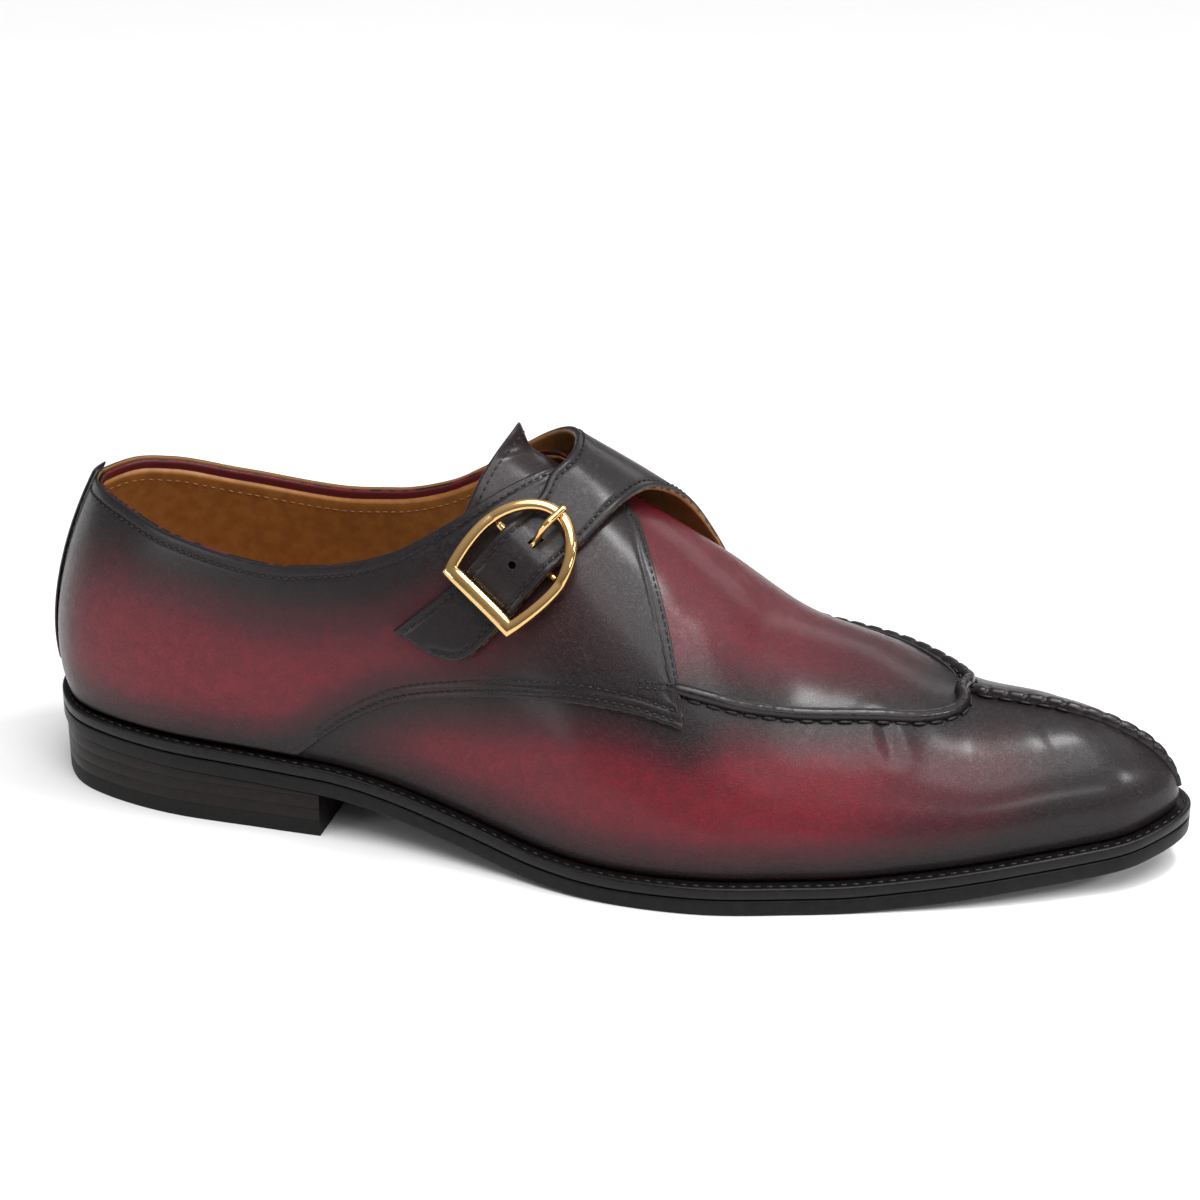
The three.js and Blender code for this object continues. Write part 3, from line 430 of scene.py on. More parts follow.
# Rod round a path. ring joins its ends, otherwise they are rounded.
def rodMesh(path, up, radius, ring, sides=14, flat=1.0, square=1.0):
    n = len(path)
    flat = np.broadcast_to(np.asarray(flat, float), (n,))[:, None, None]
    radius = np.broadcast_to(np.asarray(radius, float), (n,)).copy()
    stretch = 1.0
    if ring:
        before, after = np.roll(path, 1, 0), np.roll(path, -1, 0)
        cosine = (unit(path - before) * unit(after - path)).sum(1)
        stretch = (1 / np.sqrt(np.clip((1 + cosine) / 2, 0.4, 1)))[:, None, None]
    else:
        before, after = np.concatenate([path[:1], path[:-1]]), np.concatenate([path[1:], path[-1:]])
    along = unit(after - before)
    across = unit(np.cross(along, up))
    top = np.cross(across, along)
    if not ring:
        caps = np.array([0, 0.5, 0.8, 0.95])
        start = path[:1] - along[:1] * radius[0] * (1 - caps[:, None]) * 0.6
        end = path[-1:] + along[-1:] * radius[-1] * (1 - caps[::-1, None]) * 0.6
        path = np.concatenate([start, path[1:-1], end])
        radius = np.concatenate([radius[0] * caps, radius[1:-1], radius[-1] * caps[::-1]])
        repeats = np.concatenate([[len(caps)], np.ones(n - 2, int), [len(caps)]])
        across, top = np.repeat(across, repeats, 0), np.repeat(top, repeats, 0)
        flat = flat[0, 0, 0]
    turn = np.linspace(0, 2 * math.pi, sides + 1)
    c = (np.sign(np.cos(turn)) * np.abs(np.cos(turn)) ** square)[None, :, None]
    s = (np.sign(np.sin(turn)) * np.abs(np.sin(turn)) ** square)[None, :, None]
    section = across[:, None] * c * stretch + top[:, None] * s * flat
    points = path[:, None] + section * radius[:, None, None]
    return closeUp(gridMesh(np.concatenate([points, points[:1]]) if ring else points))


# Shader maths: a wrapped socket whose operators add Math nodes
class Value:
    def __init__(self, shader, socket):
        self.shader, self.socket = shader, socket

    def maths(self, operation, first, second):
        return self.shader.node("ShaderNodeMath", {"operation": operation}, {0: first, 1: second})

    def __add__(self, other):
        return self.maths("ADD", self, other)

    def __mul__(self, other):
        return self.maths("MULTIPLY", self, other)

    def __sub__(self, other):
        return self.maths("SUBTRACT", self, other)

    def __rsub__(self, other):
        return self.maths("SUBTRACT", other, self)

    def __abs__(self):
        return self.maths("ABSOLUTE", self, 0.0)

    __radd__, __rmul__ = __add__, __mul__

    def range(self, low, high, toLow=0.0, toHigh=1.0, shape="SMOOTHSTEP"):
        inputs = {0: self, 1: low, 2: high, 3: toLow, 4: toHigh}
        return self.shader.node("ShaderNodeMapRange", {"interpolation_type": shape}, inputs)


# Nodes of a material or a world
class Shader:
    def __init__(self, owner):
        owner.use_nodes = True
        self.owner, self.tree = owner, owner.node_tree

    def node(self, kind, settings=None, inputs=None, output=0):
        made = self.tree.nodes.new(kind)
        for key, setting in (settings or {}).items():
            setattr(made, key, setting)
        for key, given in (inputs or {}).items():
            self.feed(made.inputs[key], given)
        return Value(self, made.outputs[output])

    def feed(self, socket, given):
        if isinstance(given, Value):
            self.tree.links.new(given.socket, socket)
        elif isinstance(given, tuple) and socket.type == "RGBA":
            socket.default_value = (*given, 1)
        else:
            socket.default_value = given


class Finish(Shader):
    sockets = {
        "colour": "Base Color", "roughness": "Roughness", "metallic": "Metallic", "coat": "Coat Weight",
        "coatRoughness": "Coat Roughness", "specular": "Specular IOR Level",
    }

    def __init__(self, name):
        super().__init__(bpy.data.materials.new(name))
        self.bsdf = self.tree.nodes["Principled BSDF"]

    def place(self, stretch=None):
        co = self.node("ShaderNodeTexCoord", output=3)
        return self.node("ShaderNodeMapping", {}, {"Vector": co, "Scale": stretch}) if stretch else co

    def attribute(self, name):
        return self.node("ShaderNodeAttribute", {"attribute_name": name}, output=2)

    def noise(self, scale, detail, rough, distortion=0.0, stretch=None):
        inputs = {"Scale": scale, "Detail": detail, "Roughness": rough, "Distortion": distortion}
        return self.node("ShaderNodeTexNoise", {}, {"Vector": self.place(stretch), **inputs})

    def cells(self, scale):
        settings = {"feature": "DISTANCE_TO_EDGE"}
        return self.node("ShaderNodeTexVoronoi", settings, {"Vector": self.place(), "Scale": scale})

    def mix(self, factor, a, b):
        return self.node("ShaderNodeMix", {"data_type": "RGBA"}, {0: factor, 6: a, 7: b}, output=2)

    def bump(self, height, strength, distance):
        inputs = {"Height": height, "Strength": strength, "Distance": distance}
        self.feed(self.bsdf.inputs["Normal"], self.node("ShaderNodeBump", {}, inputs))

    def set(self, **inputs):
        for key, given in inputs.items():
            self.feed(self.bsdf.inputs[self.sockets[key]], given)
        return self.owner


# Polished calf: red showing through a dark hand-rubbed finish, darkest at seams and edges
calf = {
    "red": (0.155, 0.0068, 0.0155), "wine": (0.052, 0.005, 0.0095), "charcoal": (0.0085, 0.005, 0.006),
    "suede": (0.35, 0.15, 0.045), "dyedSuede": (0.14, 0.012, 0.018),
    "poreScale": 1500, "creaseScale": 760, "webScale": 300, "mottleScale": 42, "blotchScale": 14,
    "coat": 0.22, "coatRoughness": 0.21, "specular": 0.24, "bump": 0.45, "bumpDepth": 0.0002,
}


def calfFinish(name, underside):
    f = Finish(name)
    mottle = f.noise(calf["mottleScale"], 4.0, 0.6)
    blotch = f.noise(calf["blotchScale"], 3.0, 0.55)
    dark = f.attribute("patina") + (mottle - 0.5) * 0.12 + (blotch - 0.5) * 0.34
    colour = f.mix(dark.range(-0.05, 0.45), calf["red"], calf["wine"])
    colour = f.mix(dark.range(0.34, 0.9), colour, calf["charcoal"])
    pores = f.cells(calf["poreScale"])
    creaseLines = abs(f.noise(calf["creaseScale"], 2.0, 0.5, 1.6) - 0.5).range(0.0, 0.07, 1.0, 0.0)
    web = f.noise(calf["webScale"], 5.0, 0.62, 0.6)
    colour = f.mix(web.range(0.35, 0.62, 0.0, 0.22), colour, calf["charcoal"])
    under = f.attribute("under")
    suede = f.mix(f.noise(calf["webScale"], 4.0, 0.6), underside, tuple(0.7 * v for v in underside))
    colour = f.mix(under.range(0.4, 0.6), colour, suede)
    f.bump(pores.range(0.0, 0.12) * 0.2 + web * 0.5 + creaseLines * 0.55, calf["bump"], calf["bumpDepth"])
    return f.set(
        colour=colour, roughness=web.range(0.3, 0.7, 0.33, 0.43) + under * 0.3,
        coat=calf["coat"], coatRoughness=calf["coatRoughness"], specular=calf["specular"],
    )


def plainFinish(name, colour, darker, scale, roughness, strength, coat=0.0, specular=0.35):
    f = Finish(name)
    n = f.noise(scale, 5.0, 0.6)
    f.bump(n, strength, 0.0004)
    return f.set(
        colour=f.mix(n.range(0.3, 0.7), colour, darker),
        roughness=n.range(0.25, 0.75, roughness - 0.05, roughness + 0.07),
        coat=coat, coatRoughness=0.2, specular=specular,
    )


def goldFinish(name):
    f = Finish(name)
    n = f.noise(60, 3.0, 0.5)
    f.bump(f.noise(900, 2.0, 0.5, stretch=(1, 1, 4)), 0.03, 0.0002)
    colour = f.mix(n, (0.80, 0.47, 0.17), (0.88, 0.58, 0.26))
    return f.set(colour=colour, metallic=1.0, roughness=n.range(0.3, 0.7, 0.1, 0.18))


# Plain finishes: colour, darker colour, grain scale, roughness, bump, coat and specular
black, grey = (0.0045, 0.004, 0.004), (0.009, 0.008, 0.0075)
plainRows = {
    "lining": ("tanLining", (0.36, 0.145, 0.035), (0.27, 0.10, 0.022), 260, 0.42, 0.2),
    "sock": ("sockLeather", (0.4, 0.18, 0.055), (0.28, 0.12, 0.035), 220, 0.5, 0.25),
    "seam": ("seamRoll", (0.006, 0.005, 0.0055), (0.014, 0.008, 0.009), 500, 0.3, 0.2, 0.1),
    "thread": ("darkThread", (0.010, 0.008, 0.008), (0.004, 0.003, 0.003), 2500, 0.38, 0.4, 0.0, 0.4),
    "tanThread": ("tanThread", (0.42, 0.23, 0.09), (0.25, 0.12, 0.045), 2500, 0.6, 0.4),
    "welt": ("blackWelt", black, grey, 500, 0.34, 0.2, 0.0, 0.2),
    "sole": ("soleEdgeInk", black, grey, 350, 0.4, 0.25, 0.0, 0.16),
    "heel": ("stackedHeel", (0.006, 0.0048, 0.0045), (0.012, 0.0078, 0.0062), 420, 0.4, 0.25, 0.0, 0.18),
    "topPiece": ("topPieceRubber", (0.006, 0.0057, 0.0055), (0.011, 0.0105, 0.010), 900, 0.55, 0.3, 0.0, 0.16),
}
materials = {
    "calf": calfFinish("handRubbedCalf", calf["suede"]),
    "vamp": calfFinish("vampCalf", calf["dyedSuede"]),
    "strap": calfFinish("strapCalf", calf["suede"]),
    "gold": goldFinish("paleGold"),
    **{key: plainFinish(*row) for key, row in plainRows.items()},
}
print("materials ready")

# Camera and light, as the photograph has them
lens = {"turn": 13.25, "rise": 22.8, "distance": 0.68, "target": (0.1105, 0, 0.0592), "focal": 77.2}
turn, rise = math.radians(lens["turn"]), math.radians(lens["rise"])
way = Vector((math.sin(turn) * math.cos(rise), -math.cos(turn) * math.cos(rise), math.sin(rise)))
camera = shown("camera", bpy.data.cameras.new("camera"))
camera.data.lens = lens["focal"]
camera.data.sensor_width = 36
camera.data.clip_start = 0.01
camera.location = Vector(lens["target"]) + way * lens["distance"]
camera.rotation_euler = (-way).to_track_quat("-Z", "Y").to_euler()
bpy.context.scene.camera = camera

# Lamps: place, aim, size and power. The day is a sun, whose size is its angle.
lamps = {
    "day": ((0.5, -0.5, 1.7), (0.1, 0, 0), 0.8, 2.3),
    "toe": ((0.49, 0.06, 0.89), (0.21, -0.02, 0.035), (0.15, 0.08), 2.4),
    "tip": ((1.01, -0.13, 0.5), (0.25, -0.01, 0.03), (0.2, 0.1), 2.4),
    "low": ((0.79, -0.6, 0.43), (0.23, -0.02, 0.026), (0.3, 0.07), 1.0),
    "vamp": ((0.71, 0.3, 0.69), (0.15, -0.02, 0.06), (0.4, 0.25), 0.35),
    "strap": ((0.35, 0.78, 0.47), (0.11, 0, 0.09), (0.6, 0.2), 0.8),
    "side": ((-0.7, -0.85, 0.24), (0, -0.03, 0.056), (0.5, 0.24), 1.8),
}
for name, (at, aim, size, power) in lamps.items():
    light = shown(name, bpy.data.lights.new(name, "SUN" if name == "day" else "AREA"))
    light.data.energy = power
    light.location = at
    light.rotation_euler = (Vector(aim) - Vector(at)).to_track_quat("-Z", "Y").to_euler()
    if name == "day":
        light.data.angle = size
    else:
        light.data.shape = "RECTANGLE"
        light.data.size, light.data.size_y = size

# White room, brighter overhead than at the horizon
room = {"top": 0.9, "horizonLight": 0.08, "topLight": 0.52}
world = bpy.data.worlds.new("softRoom")
sky = Shader(world)
height = sky.node("ShaderNodeSeparateXYZ", {}, {0: sky.node("ShaderNodeTexCoord")}, 2)
backdrop = world.node_tree.nodes["Background"]
brightness = height.range(0.0, room["top"], room["horizonLight"], room["topLight"], "LINEAR")
sky.feed(backdrop.inputs["Strength"], brightness)
sky.feed(backdrop.inputs["Color"], (1.0, 1.0, 1.0))
bpy.context.scene.world = world
bpy.context.scene.view_settings.view_transform = "Standard"

floorBm = bmesh.new()
bmesh.ops.create_grid(floorBm, x_segments=8, y_segments=8, size=4)
floor = shown("floor", meshOf(floorBm, "floor"))
paleFloor = plainFinish("paleFloor", (0.9, 0.9, 0.9), (0.88, 0.88, 0.88), 6, 0.6, 0.0, specular=0.05)
floor.data.materials.append(paleFloor)
print("stage ready")

# Outsole, welt, insole and heel
ribSteps = 16
soleRibs = np.concatenate([
    np.linspace(0, 2, 2 * ribSteps + 1), np.linspace(2, 11, 5 * ribSteps + 1)[1:],
    np.linspace(11, 14, 3 * ribSteps + 1)[1:],
])


# Row of points at a distance outwards of the feather line and a rise over a face
def edgeRow(ribRun, inner, outwards, face, rise=0.0):
    xy = planPoint(ribRun, inner, outwards)
    return np.concatenate([xy, (face(xy[:, 0]) + rise)[:, None]], 1)


# Flat plate: its section runs from the outer edge over the top to the inner edge and back underneath
def plateMesh(outset, top, bottom, bevel):
    arc = np.linspace(0, math.pi / 2, 4)
    profile = [(bevel * (math.sin(a) - 1), bottom, bevel * (1 - math.cos(a))) for a in arc]
    profile += [(bevel * (math.cos(a) - 1), top, -bevel * (1 - math.sin(a))) for a in arc]

    def across(a, b, face):
        middle = [(1 - s) * a + s * b for s in np.linspace(0, 1, 9)[1:-1]]
        for row in middle:
            row[:, 2] = face(row[:, 0])
        return middle

    outer, innerSide = [
        [edgeRow(soleRibs, inner, outset + offset, face, rise) for offset, face, rise in profile]
        for inner in (False, True)
    ]
    ring = outer + across(outer[-1], innerSide[-1], top) + innerSide[::-1]
    ring += across(innerSide[0], outer[0], bottom) + [outer[0]]
    return closeUp(gridMesh(np.stack(ring, 1)), capEnds=True)


outsoleBm = plateMesh(shoe["ledge"], soleTop, underside, 0.5)
smoothByAngle(piece(outsoleBm, "leatherOutsole", ["outsole"], "sole"), 60)

welt = {"inset": 7, "bevel": 0.7, "groove": 0.2, "stitchOut": 2.1, "stitch": 2.3, "pitch": 3.1}
ringRib = np.concatenate([soleRibs, soleRibs[-2::-1]])
ringInner = np.arange(len(ringRib)) >= len(soleRibs)


def weltLow(x):
    return soleTop(x) + shoe["gap"]


b, edge = welt["bevel"], shoe["ledge"]
weltRows = [
    (-welt["inset"], weltLow), (edge - b * 0.4, weltLow), (edge, weltLow, b * 0.5), (edge, weltTop, -b),
    (edge - b * 0.13, weltTop, -b * 0.5), (edge - b * 0.5, weltTop, -b * 0.13), (edge - b, weltTop),
    (edge - b - 0.5, weltTop, -0.12), (0.4, weltTop, -welt["groove"]),
    (-welt["inset"], weltTop, -welt["groove"]), (-welt["inset"], weltLow),
]
weltRing = np.stack([edgeRow(ringRib, ringInner, *row) for row in weltRows], 1)
piece(closeUp(gridMesh(weltRing)), "stitchedWelt", ["welt"], "welt")

insole = {"clearance": 2.4, "thickness": 2.6, "bevel": 0.6}


def insoleTop(x):
    return featherTop(x) + insole["thickness"]


insoleBm = plateMesh(-insole["clearance"], insoleTop, featherTop, insole["bevel"])
piece(insoleBm, "sockLining", ["insole"], "sock")

heel = {"inset": 0.7, "topPiece": 4.5, "lift": 3.4, "bevel": 0.12}
heelOut = shoe["ledge"] - heel["inset"]


# Rib at which the heel's edge reaches its breast, found by halving
def heelEnd(inner):
    low, high = 0.0, 7.0
    for _ in range(50):
        mid = (low + high) / 2
        if planPoint(np.array([mid]), inner, heelOut)[0, 0] < shoe["heelLength"]:
            low = mid
        else:
            high = mid
    return low


heelShares = np.concatenate([np.linspace(0, 0.33, 20), np.linspace(0.33, 1, 24)[1:]])
heelEnds = (heelEnd(False), heelEnd(True))


def heelMesh(top, bottom):
    b = heel["bevel"]
    profile = [(-b, bottom, 0), (-b * 0.3, bottom, b * 0.3), (0, bottom, b)]
    profile += [(0, top, -b), (-b * 0.3, top, -b * 0.3), (-b, top, 0)]
    outer, innerSide = [
        [edgeRow(heelShares * end, inner, heelOut + offset, face, rise) for offset, face, rise in profile]
        for inner, end in zip((False, True), heelEnds)
    ]
    ring = outer + [(outer[-1] + innerSide[-1]) / 2]
    ring += innerSide[::-1] + [(outer[0] + innerSide[0]) / 2, outer[0]]
    return closeUp(gridMesh(np.stack(ring, 1)), capEnds=True)


def flatAt(z):
    return lambda x: z + 0 * x


levels = [0, heel["topPiece"], heel["topPiece"] + heel["lift"], heel["topPiece"] + 2 * heel["lift"]]
heelPieces = [
    ("heelTopPiece", "heel_top_piece", flatAt(levels[1]), flatAt(0), "top_piece", "topPiece"),
    ("heelLift1", "heel_lift_1", flatAt(levels[2]), flatAt(levels[1]), "sole_edge", "heel"),
    ("heelLift2", "heel_lift_2", flatAt(levels[3]), flatAt(levels[2]), "sole_edge", "heel"),
    ("heelWedge", "heel_wedge", lambda x: underside(x) - shoe["gap"], flatAt(levels[3]), "sole_edge", "heel"),
]
for name, node, top, bottom, slotName, finish in heelPieces:
    smoothByAngle(piece(heelMesh(top, bottom), name, [node], finish), 35)
print("sole and heel ready")

# Upper: vamp leather outside, lining inside
upper = {"vamp": 0.85, "lining": 0.7, "gap": 0.05, "rim": 0.8, "ribSteps": 16, "upSteps": 70}


def vampDark(base, rib, side):
    x = base[..., 0]
    rows = [
        ("apron", 0.85, 9), ("toe", 0.7, 9), ("feather", 0.8, 9), ("arc", 0.75, 9), ("innerArc", 0.75, 9),
        ("collar", 0.9, 12), ("heel", 0.75, 12),
    ]
    return burnish(
        base, rows, 0.97 * ease((x - 252) / 42), 0.32 * ease((x - 215) / 40),
        0.3 * ease((side + 0.45) / 0.4) * ease((x - 205) / 30), 0.2 * ease((side + 0.5) / 0.15),
    )


# Soft folds of the vamp: rib and side of both ends, then width and depth in mm
foldRows = [
    (9.87, -0.37, 9.98, -0.54, 2.0, 0.8), (9.5, -0.4, 9.45, -0.52, 3.4, 0.12),
    (10.3, -0.36, 10.42, -0.52, 3.6, 0.16), (9.9, 0.42, 9.99, 0.56, 2.4, 0.6),
    (7.7, -0.75, 8.6, -0.82, 4.5, 0.3), (7.9, -0.25, 8.3, 0.2, 5.0, 0.3), (8.6, -0.3, 8.9, 0.2, 5.0, 0.25),
]


def creases(base):
    total = np.zeros(base.shape[:-1])
    t = np.linspace(0, 1, 24)
    taper = np.sin(math.pi * np.clip(t * 0.85 + 0.15, 0, 1)) ** 0.7
    for ribA, sideA, ribB, sideB, width, depth in foldRows:
        line = over(ribA + t * (ribB - ribA), sideA + t * (sideB - sideA), 0)
        close = np.linalg.norm(base - line[12], axis=-1) < 40
        gap = np.linalg.norm(base[close][:, None] - line[None], axis=-1)
        trough = (taper * np.exp(-((gap / width) ** 2))).max(1)
        shoulder = (taper * np.exp(-(((gap - 2.1 * width) / (1.2 * width)) ** 2))).max(1)
        total[close] += depth * (0.4 * shoulder * (1 - trough) - trough)
    return total


# Closed wall from the heel round the toe and back. below keeps its rim under the collar line.
def wallMesh(ribSteps, upSteps, low, high, dark, below=0.0):
    half = np.unique(np.append(np.linspace(0, lastRib, lastRib * ribSteps + 1), throatRib))
    ringRibs = np.concatenate([half, half[-2::-1]])
    inner = np.arange(len(ringRibs)) >= len(half)
    rimUp = collar(ringRibs) - below * ease((throatRib - ringRibs) / 0.5)
    up = rimUp[:, None] * np.linspace(0, 1, upSteps + 1)[None]
    rib = np.repeat(ringRibs[:, None], upSteps + 1, 1)
    side = np.where(inner[:, None], 1 - up, up - 1)
    base, normal = onLast(rib, side)
    k = rounded(distanceTo(base, lines["collar"]), upper["rim"])
    k = np.where((rib >= throatRib) & (np.abs(side) < 1e-6), 1, k)
    k[:, -1] = np.where(rib[:, -1] < throatRib, 0, 1)
    middle = (low + high) / 2
    top = middle + (high - middle) * k + creases(base)
    bottom = middle - (middle - low) * k
    mask = dark(base, rib, side)
    points = [base + normal * top[..., None], (base + normal * bottom[..., None])[:, ::-1]]
    values = {
        "patina": np.concatenate([mask, mask[:, ::-1], mask[:, :1]], 1),
        "under": np.concatenate([0 * mask, 1 + 0 * mask, 0 * mask[:, :1]], 1),
    }
    return closeUp(gridMesh(np.concatenate([*points, points[0][:, :1]], 1), values))


vampBm = wallMesh(upper["ribSteps"], upper["upSteps"], -upper["vamp"], 0, vampDark)
piece(vampBm, "vampLeather", ["upper"], "vamp")
liningTop = -upper["vamp"] - upper["gap"]
liningBm = wallMesh(8, 36, liningTop - upper["lining"], liningTop, evenly(0), 0.02)
piece(liningBm, "fullLining", ["upper"], "lining")
print("upper ready")

# Outer quarter
quarter = {"low": 0.5, "high": 1.55, "lift": 0.012, "roll": 0.8, "inside": 56}


# Length in mm of the step from the heel's rib to the next, at a share of the height
def heelStep(up):
    a, b = (lastPoint(np.array(rib), np.array(False), np.array(up)) for rib in (0.0, 1.0))
    return float(np.linalg.norm(a - b))


backRib = shoe["gap"] / heelStep(0.3)


def arcUp(rib):
    return np.where(rib < quarterArc[0][0], quarter["lift"], track(quarterArc, rib))


def quarterTop(rib):
    return np.where(rib < quarterFront[0][0], collar(rib), track(quarterFront, rib))


def quarterChart(u, s):
    low = arcUp(u)
    return u, low + s * (quarterTop(u) - low) - 1


def quarterDark(base, rib, side):
    rows = [("collar", 0.97, 17), ("heel", 0.95, 20), ("feather", 0.8, 9), ("arc", 0.75, 8), ("front", 0.6, 12)]
    return burnish(base, rows, 0.7 * ease((base[..., 0] - 116) / 34))


quarterUs = np.concatenate([[backRib, backRib + 0.02], np.linspace(0.06, 7.8, 200), [7.82, 7.832, 7.84]])
quarterBm = panel(
    quarterUs, quarter["inside"], quarterChart, evenly(quarter["low"]), evenly(quarter["high"]),
    quarter["roll"], quarterDark, [("collar", [3]), ("front", [3]), ("arc", [1.6, 4])],
)
piece(quarterBm, "outerQuarter", ["quarter_outer"], "calf")
print("outer quarter ready")

# Plane touching the last at the buckle: alpha along the strap to its tip, beta across it
buckle = {
    "width": 24.6, "belly": 28.6, "bar": 10.5, "arch": 18.5, "wire": 3, "post": 2, "postBack": 7, "prong": 1.8,
    "spot": (6.072, -0.429), "aim": (5.743, -0.557),
}
strap = {
    "leather": 2.2, "width": 17, "reach": 30, "tipLift": 0.3, "rise": 4.6, "roll": 0.9, "sewn": 2.2,
    "slotShow": 3.4, "slotWidth": 2.1, "hole": 2, "holeBack": 2.3, "cutDepth": 9,
}
spot, spotNormal = onLast(*buckle["spot"])
alphaAxis = onLast(*buckle["aim"])[0] - spot
alphaAxis -= spotNormal * alphaAxis.dot(spotNormal)
alphaAxis = unit(alphaAxis)
betaAxis = np.cross(spotNormal, alphaAxis)


def onPlane(alpha, beta):
    alpha, beta = np.broadcast_arrays(np.asarray(alpha, float), np.asarray(beta, float))
    rib = np.full(alpha.shape, buckle["spot"][0])
    side = np.full(alpha.shape, buckle["spot"][1])

    def read(r, s):
        p = lastPoint(r, s > 0, 1 - np.abs(s)) - spot
        return p @ alphaAxis, p @ betaAxis

    step = 0.01
    for _ in range(12):
        a, bb = read(rib, side)
        ra, rb = read(rib + step, side)
        sa, sb = read(rib, side + step)
        m0, m1, m2, m3 = (ra - a) / step, (sa - a) / step, (rb - bb) / step, (sb - bb) / step
        det = m0 * m3 - m1 * m2
        ea, eb = alpha - a, beta - bb
        rib = rib + (m3 * ea - m1 * eb) / det
        side = side + (m0 * eb - m2 * ea) / det
    return rib, side


def atBuckle(alpha, beta, height):
    rib, side = onPlane(alpha, beta)
    return over(rib, side, height)


# Inner quarter and strap in one piece of leather. Rungs run from its lower or front edge to the rear edge.
half = strap["width"] / 2
strapSeat = quarter["high"] + shoe["gap"] + 0.2
overPost = strapSeat + buckle["post"] + shoe["gap"]
bandRungs = [
    (5.7, 0.721, 5.4, 0.405, 1), (6.25, 0.673, 5.58, 0.35, 1), (6.85, 0.632, 5.76, 0.295, 1),
    (7.42, 0.603, 5.9, 0.245, 1), (7.95, 0.58, 6.02, 0.2, 1), (7.88, 0.47, 6.12, 0.16, 1),
    (7.75, 0.36, 6.22, 0.115, 1), (7.58, 0.25, 6.31, 0.07, 1), (7.4, 0.135, 6.38, 0.025, 1),
    (7.24, 0.02, 6.42, -0.025, 1), (7.08, -0.09, 6.4, -0.085, 0.9), (6.9, -0.2, 6.3, -0.155, 0.66),
]
cornerRung = 4
fanRib = 5.2


def strapRung(lowAlpha, lowShare, highAlpha, height, highShare=1.0):
    lr, ls = onPlane(lowAlpha, half * lowShare)
    hr, hs = onPlane(highAlpha, -half * highShare)
    return (float(lr), float(ls), float(hr), float(hs), height)


def quarterRung(rib):
    low = 1 - float(np.where(rib < innerArc[0][0], quarter["lift"], track(innerArc, rib)))
    return (rib, low, rib, 1 - float(collar(rib)), quarter["low"] + strap["rise"])


fan = [(a, bb, c, d, quarter["low"] + strap["rise"] * e) for a, bb, c, d, e in bandRungs]
post = buckle["post"]
tail = [
    strapRung(-buckle["arch"], 1, -buckle["arch"], strapSeat + 0.45 * post),
    strapRung(-buckle["arch"] * 0.68, 1, -buckle["arch"] * 0.68, strapSeat + 0.25 * post),
    strapRung(-buckle["postBack"], 1, -buckle["postBack"], overPost),
    strapRung(0, 1, 0, overPost - 0.25 * post),
    strapRung(buckle["bar"] * 0.6, 1, buckle["bar"] * 0.6, strapSeat + 0.2 * post),
    strapRung(buckle["bar"], 0.96, buckle["bar"], strapSeat),
    strapRung(strap["reach"] * 0.64, 0.9, strap["reach"] * 0.6, strapSeat + strap["tipLift"] * 0.8, 1.16),
    strapRung(strap["reach"] * 0.8, 0.64, strap["reach"] * 0.82, strapSeat + strap["tipLift"], 1.32),
    strapRung(strap["reach"] * 0.92, -0.05, strap["reach"], strapSeat + strap["tipLift"], 1.46),
]


def rungRun(rungs, parts):
    return np.stack(runAlong(rungs, (len(rungs) - 1) * parts + 1), 1)


ribRun = [backRib, backRib + 0.03] + list(np.linspace(0.1, fanRib, 110))
rungTable = np.concatenate([
    np.array([quarterRung(r) for r in ribRun[:-1]]),
    rungRun([quarterRung(fanRib)] + fan[: cornerRung + 1], 12),
    rungRun(fan[cornerRung:] + tail, 12)[1:],
])
# Closer rungs at the tip, for its rounded edge
tipSteps = rungTable[-2] + (rungTable[-1] - rungTable[-2]) * np.array([0.5, 0.8])[:, None]
rungTable = np.concatenate([rungTable[:-1], tipSteps, rungTable[-1:]])
rungPlace = np.arange(len(rungTable), dtype=float)


def bandChart(u, s):
    lowRib, lowSide, highRib, highSide = (np.interp(u, rungPlace, rungTable[:, k]) for k in range(4))
    return lowRib + s * (highRib - lowRib), lowSide + s * (highSide - lowSide)


def liftShare(rib, side):
    return np.where(side < 0, 1, ease((0.54 - side) / 0.44) * ease((rib - 4.9) / 0.9))


def bandLow(rib, side, u):
    height = np.interp(u, rungPlace, rungTable[:, 4]) + 0 * rib
    return quarter["low"] + liftShare(rib, side) * (height - quarter["low"])


def bandHigh(rib, side, u):
    share = liftShare(rib, side)
    return bandLow(rib, side, u) + 1.2 + share * (strap["leather"] - 1.2)


lines["bandFront"] = over(rungTable[:, 0], rungTable[:, 1], 0)
lines["bandRear"] = over(rungTable[60:, 2], rungTable[60:, 3], 0)


def bandDark(base, rib, side):
    rows = [("collar", 0.9, 17), ("heel", 0.75, 13), ("feather", 0.8, 9), ("bandFront", 0.75, 9)]
    return burnish(base, rows, 0.9 * ease((0.42 - side) / 0.4) * ease((rib - 4.6) / 0.6))


bandGrooves = [("bandFront", [strap["sewn"]]), ("bandRear", [strap["sewn"]])]
bandBm = panel(rungPlace, 26, bandChart, bandLow, bandHigh, strap["roll"], bandDark, bandGrooves)
bandObj = piece(bandBm, "innerQuarterStrap", ["quarter_inner_strap"], "strap")


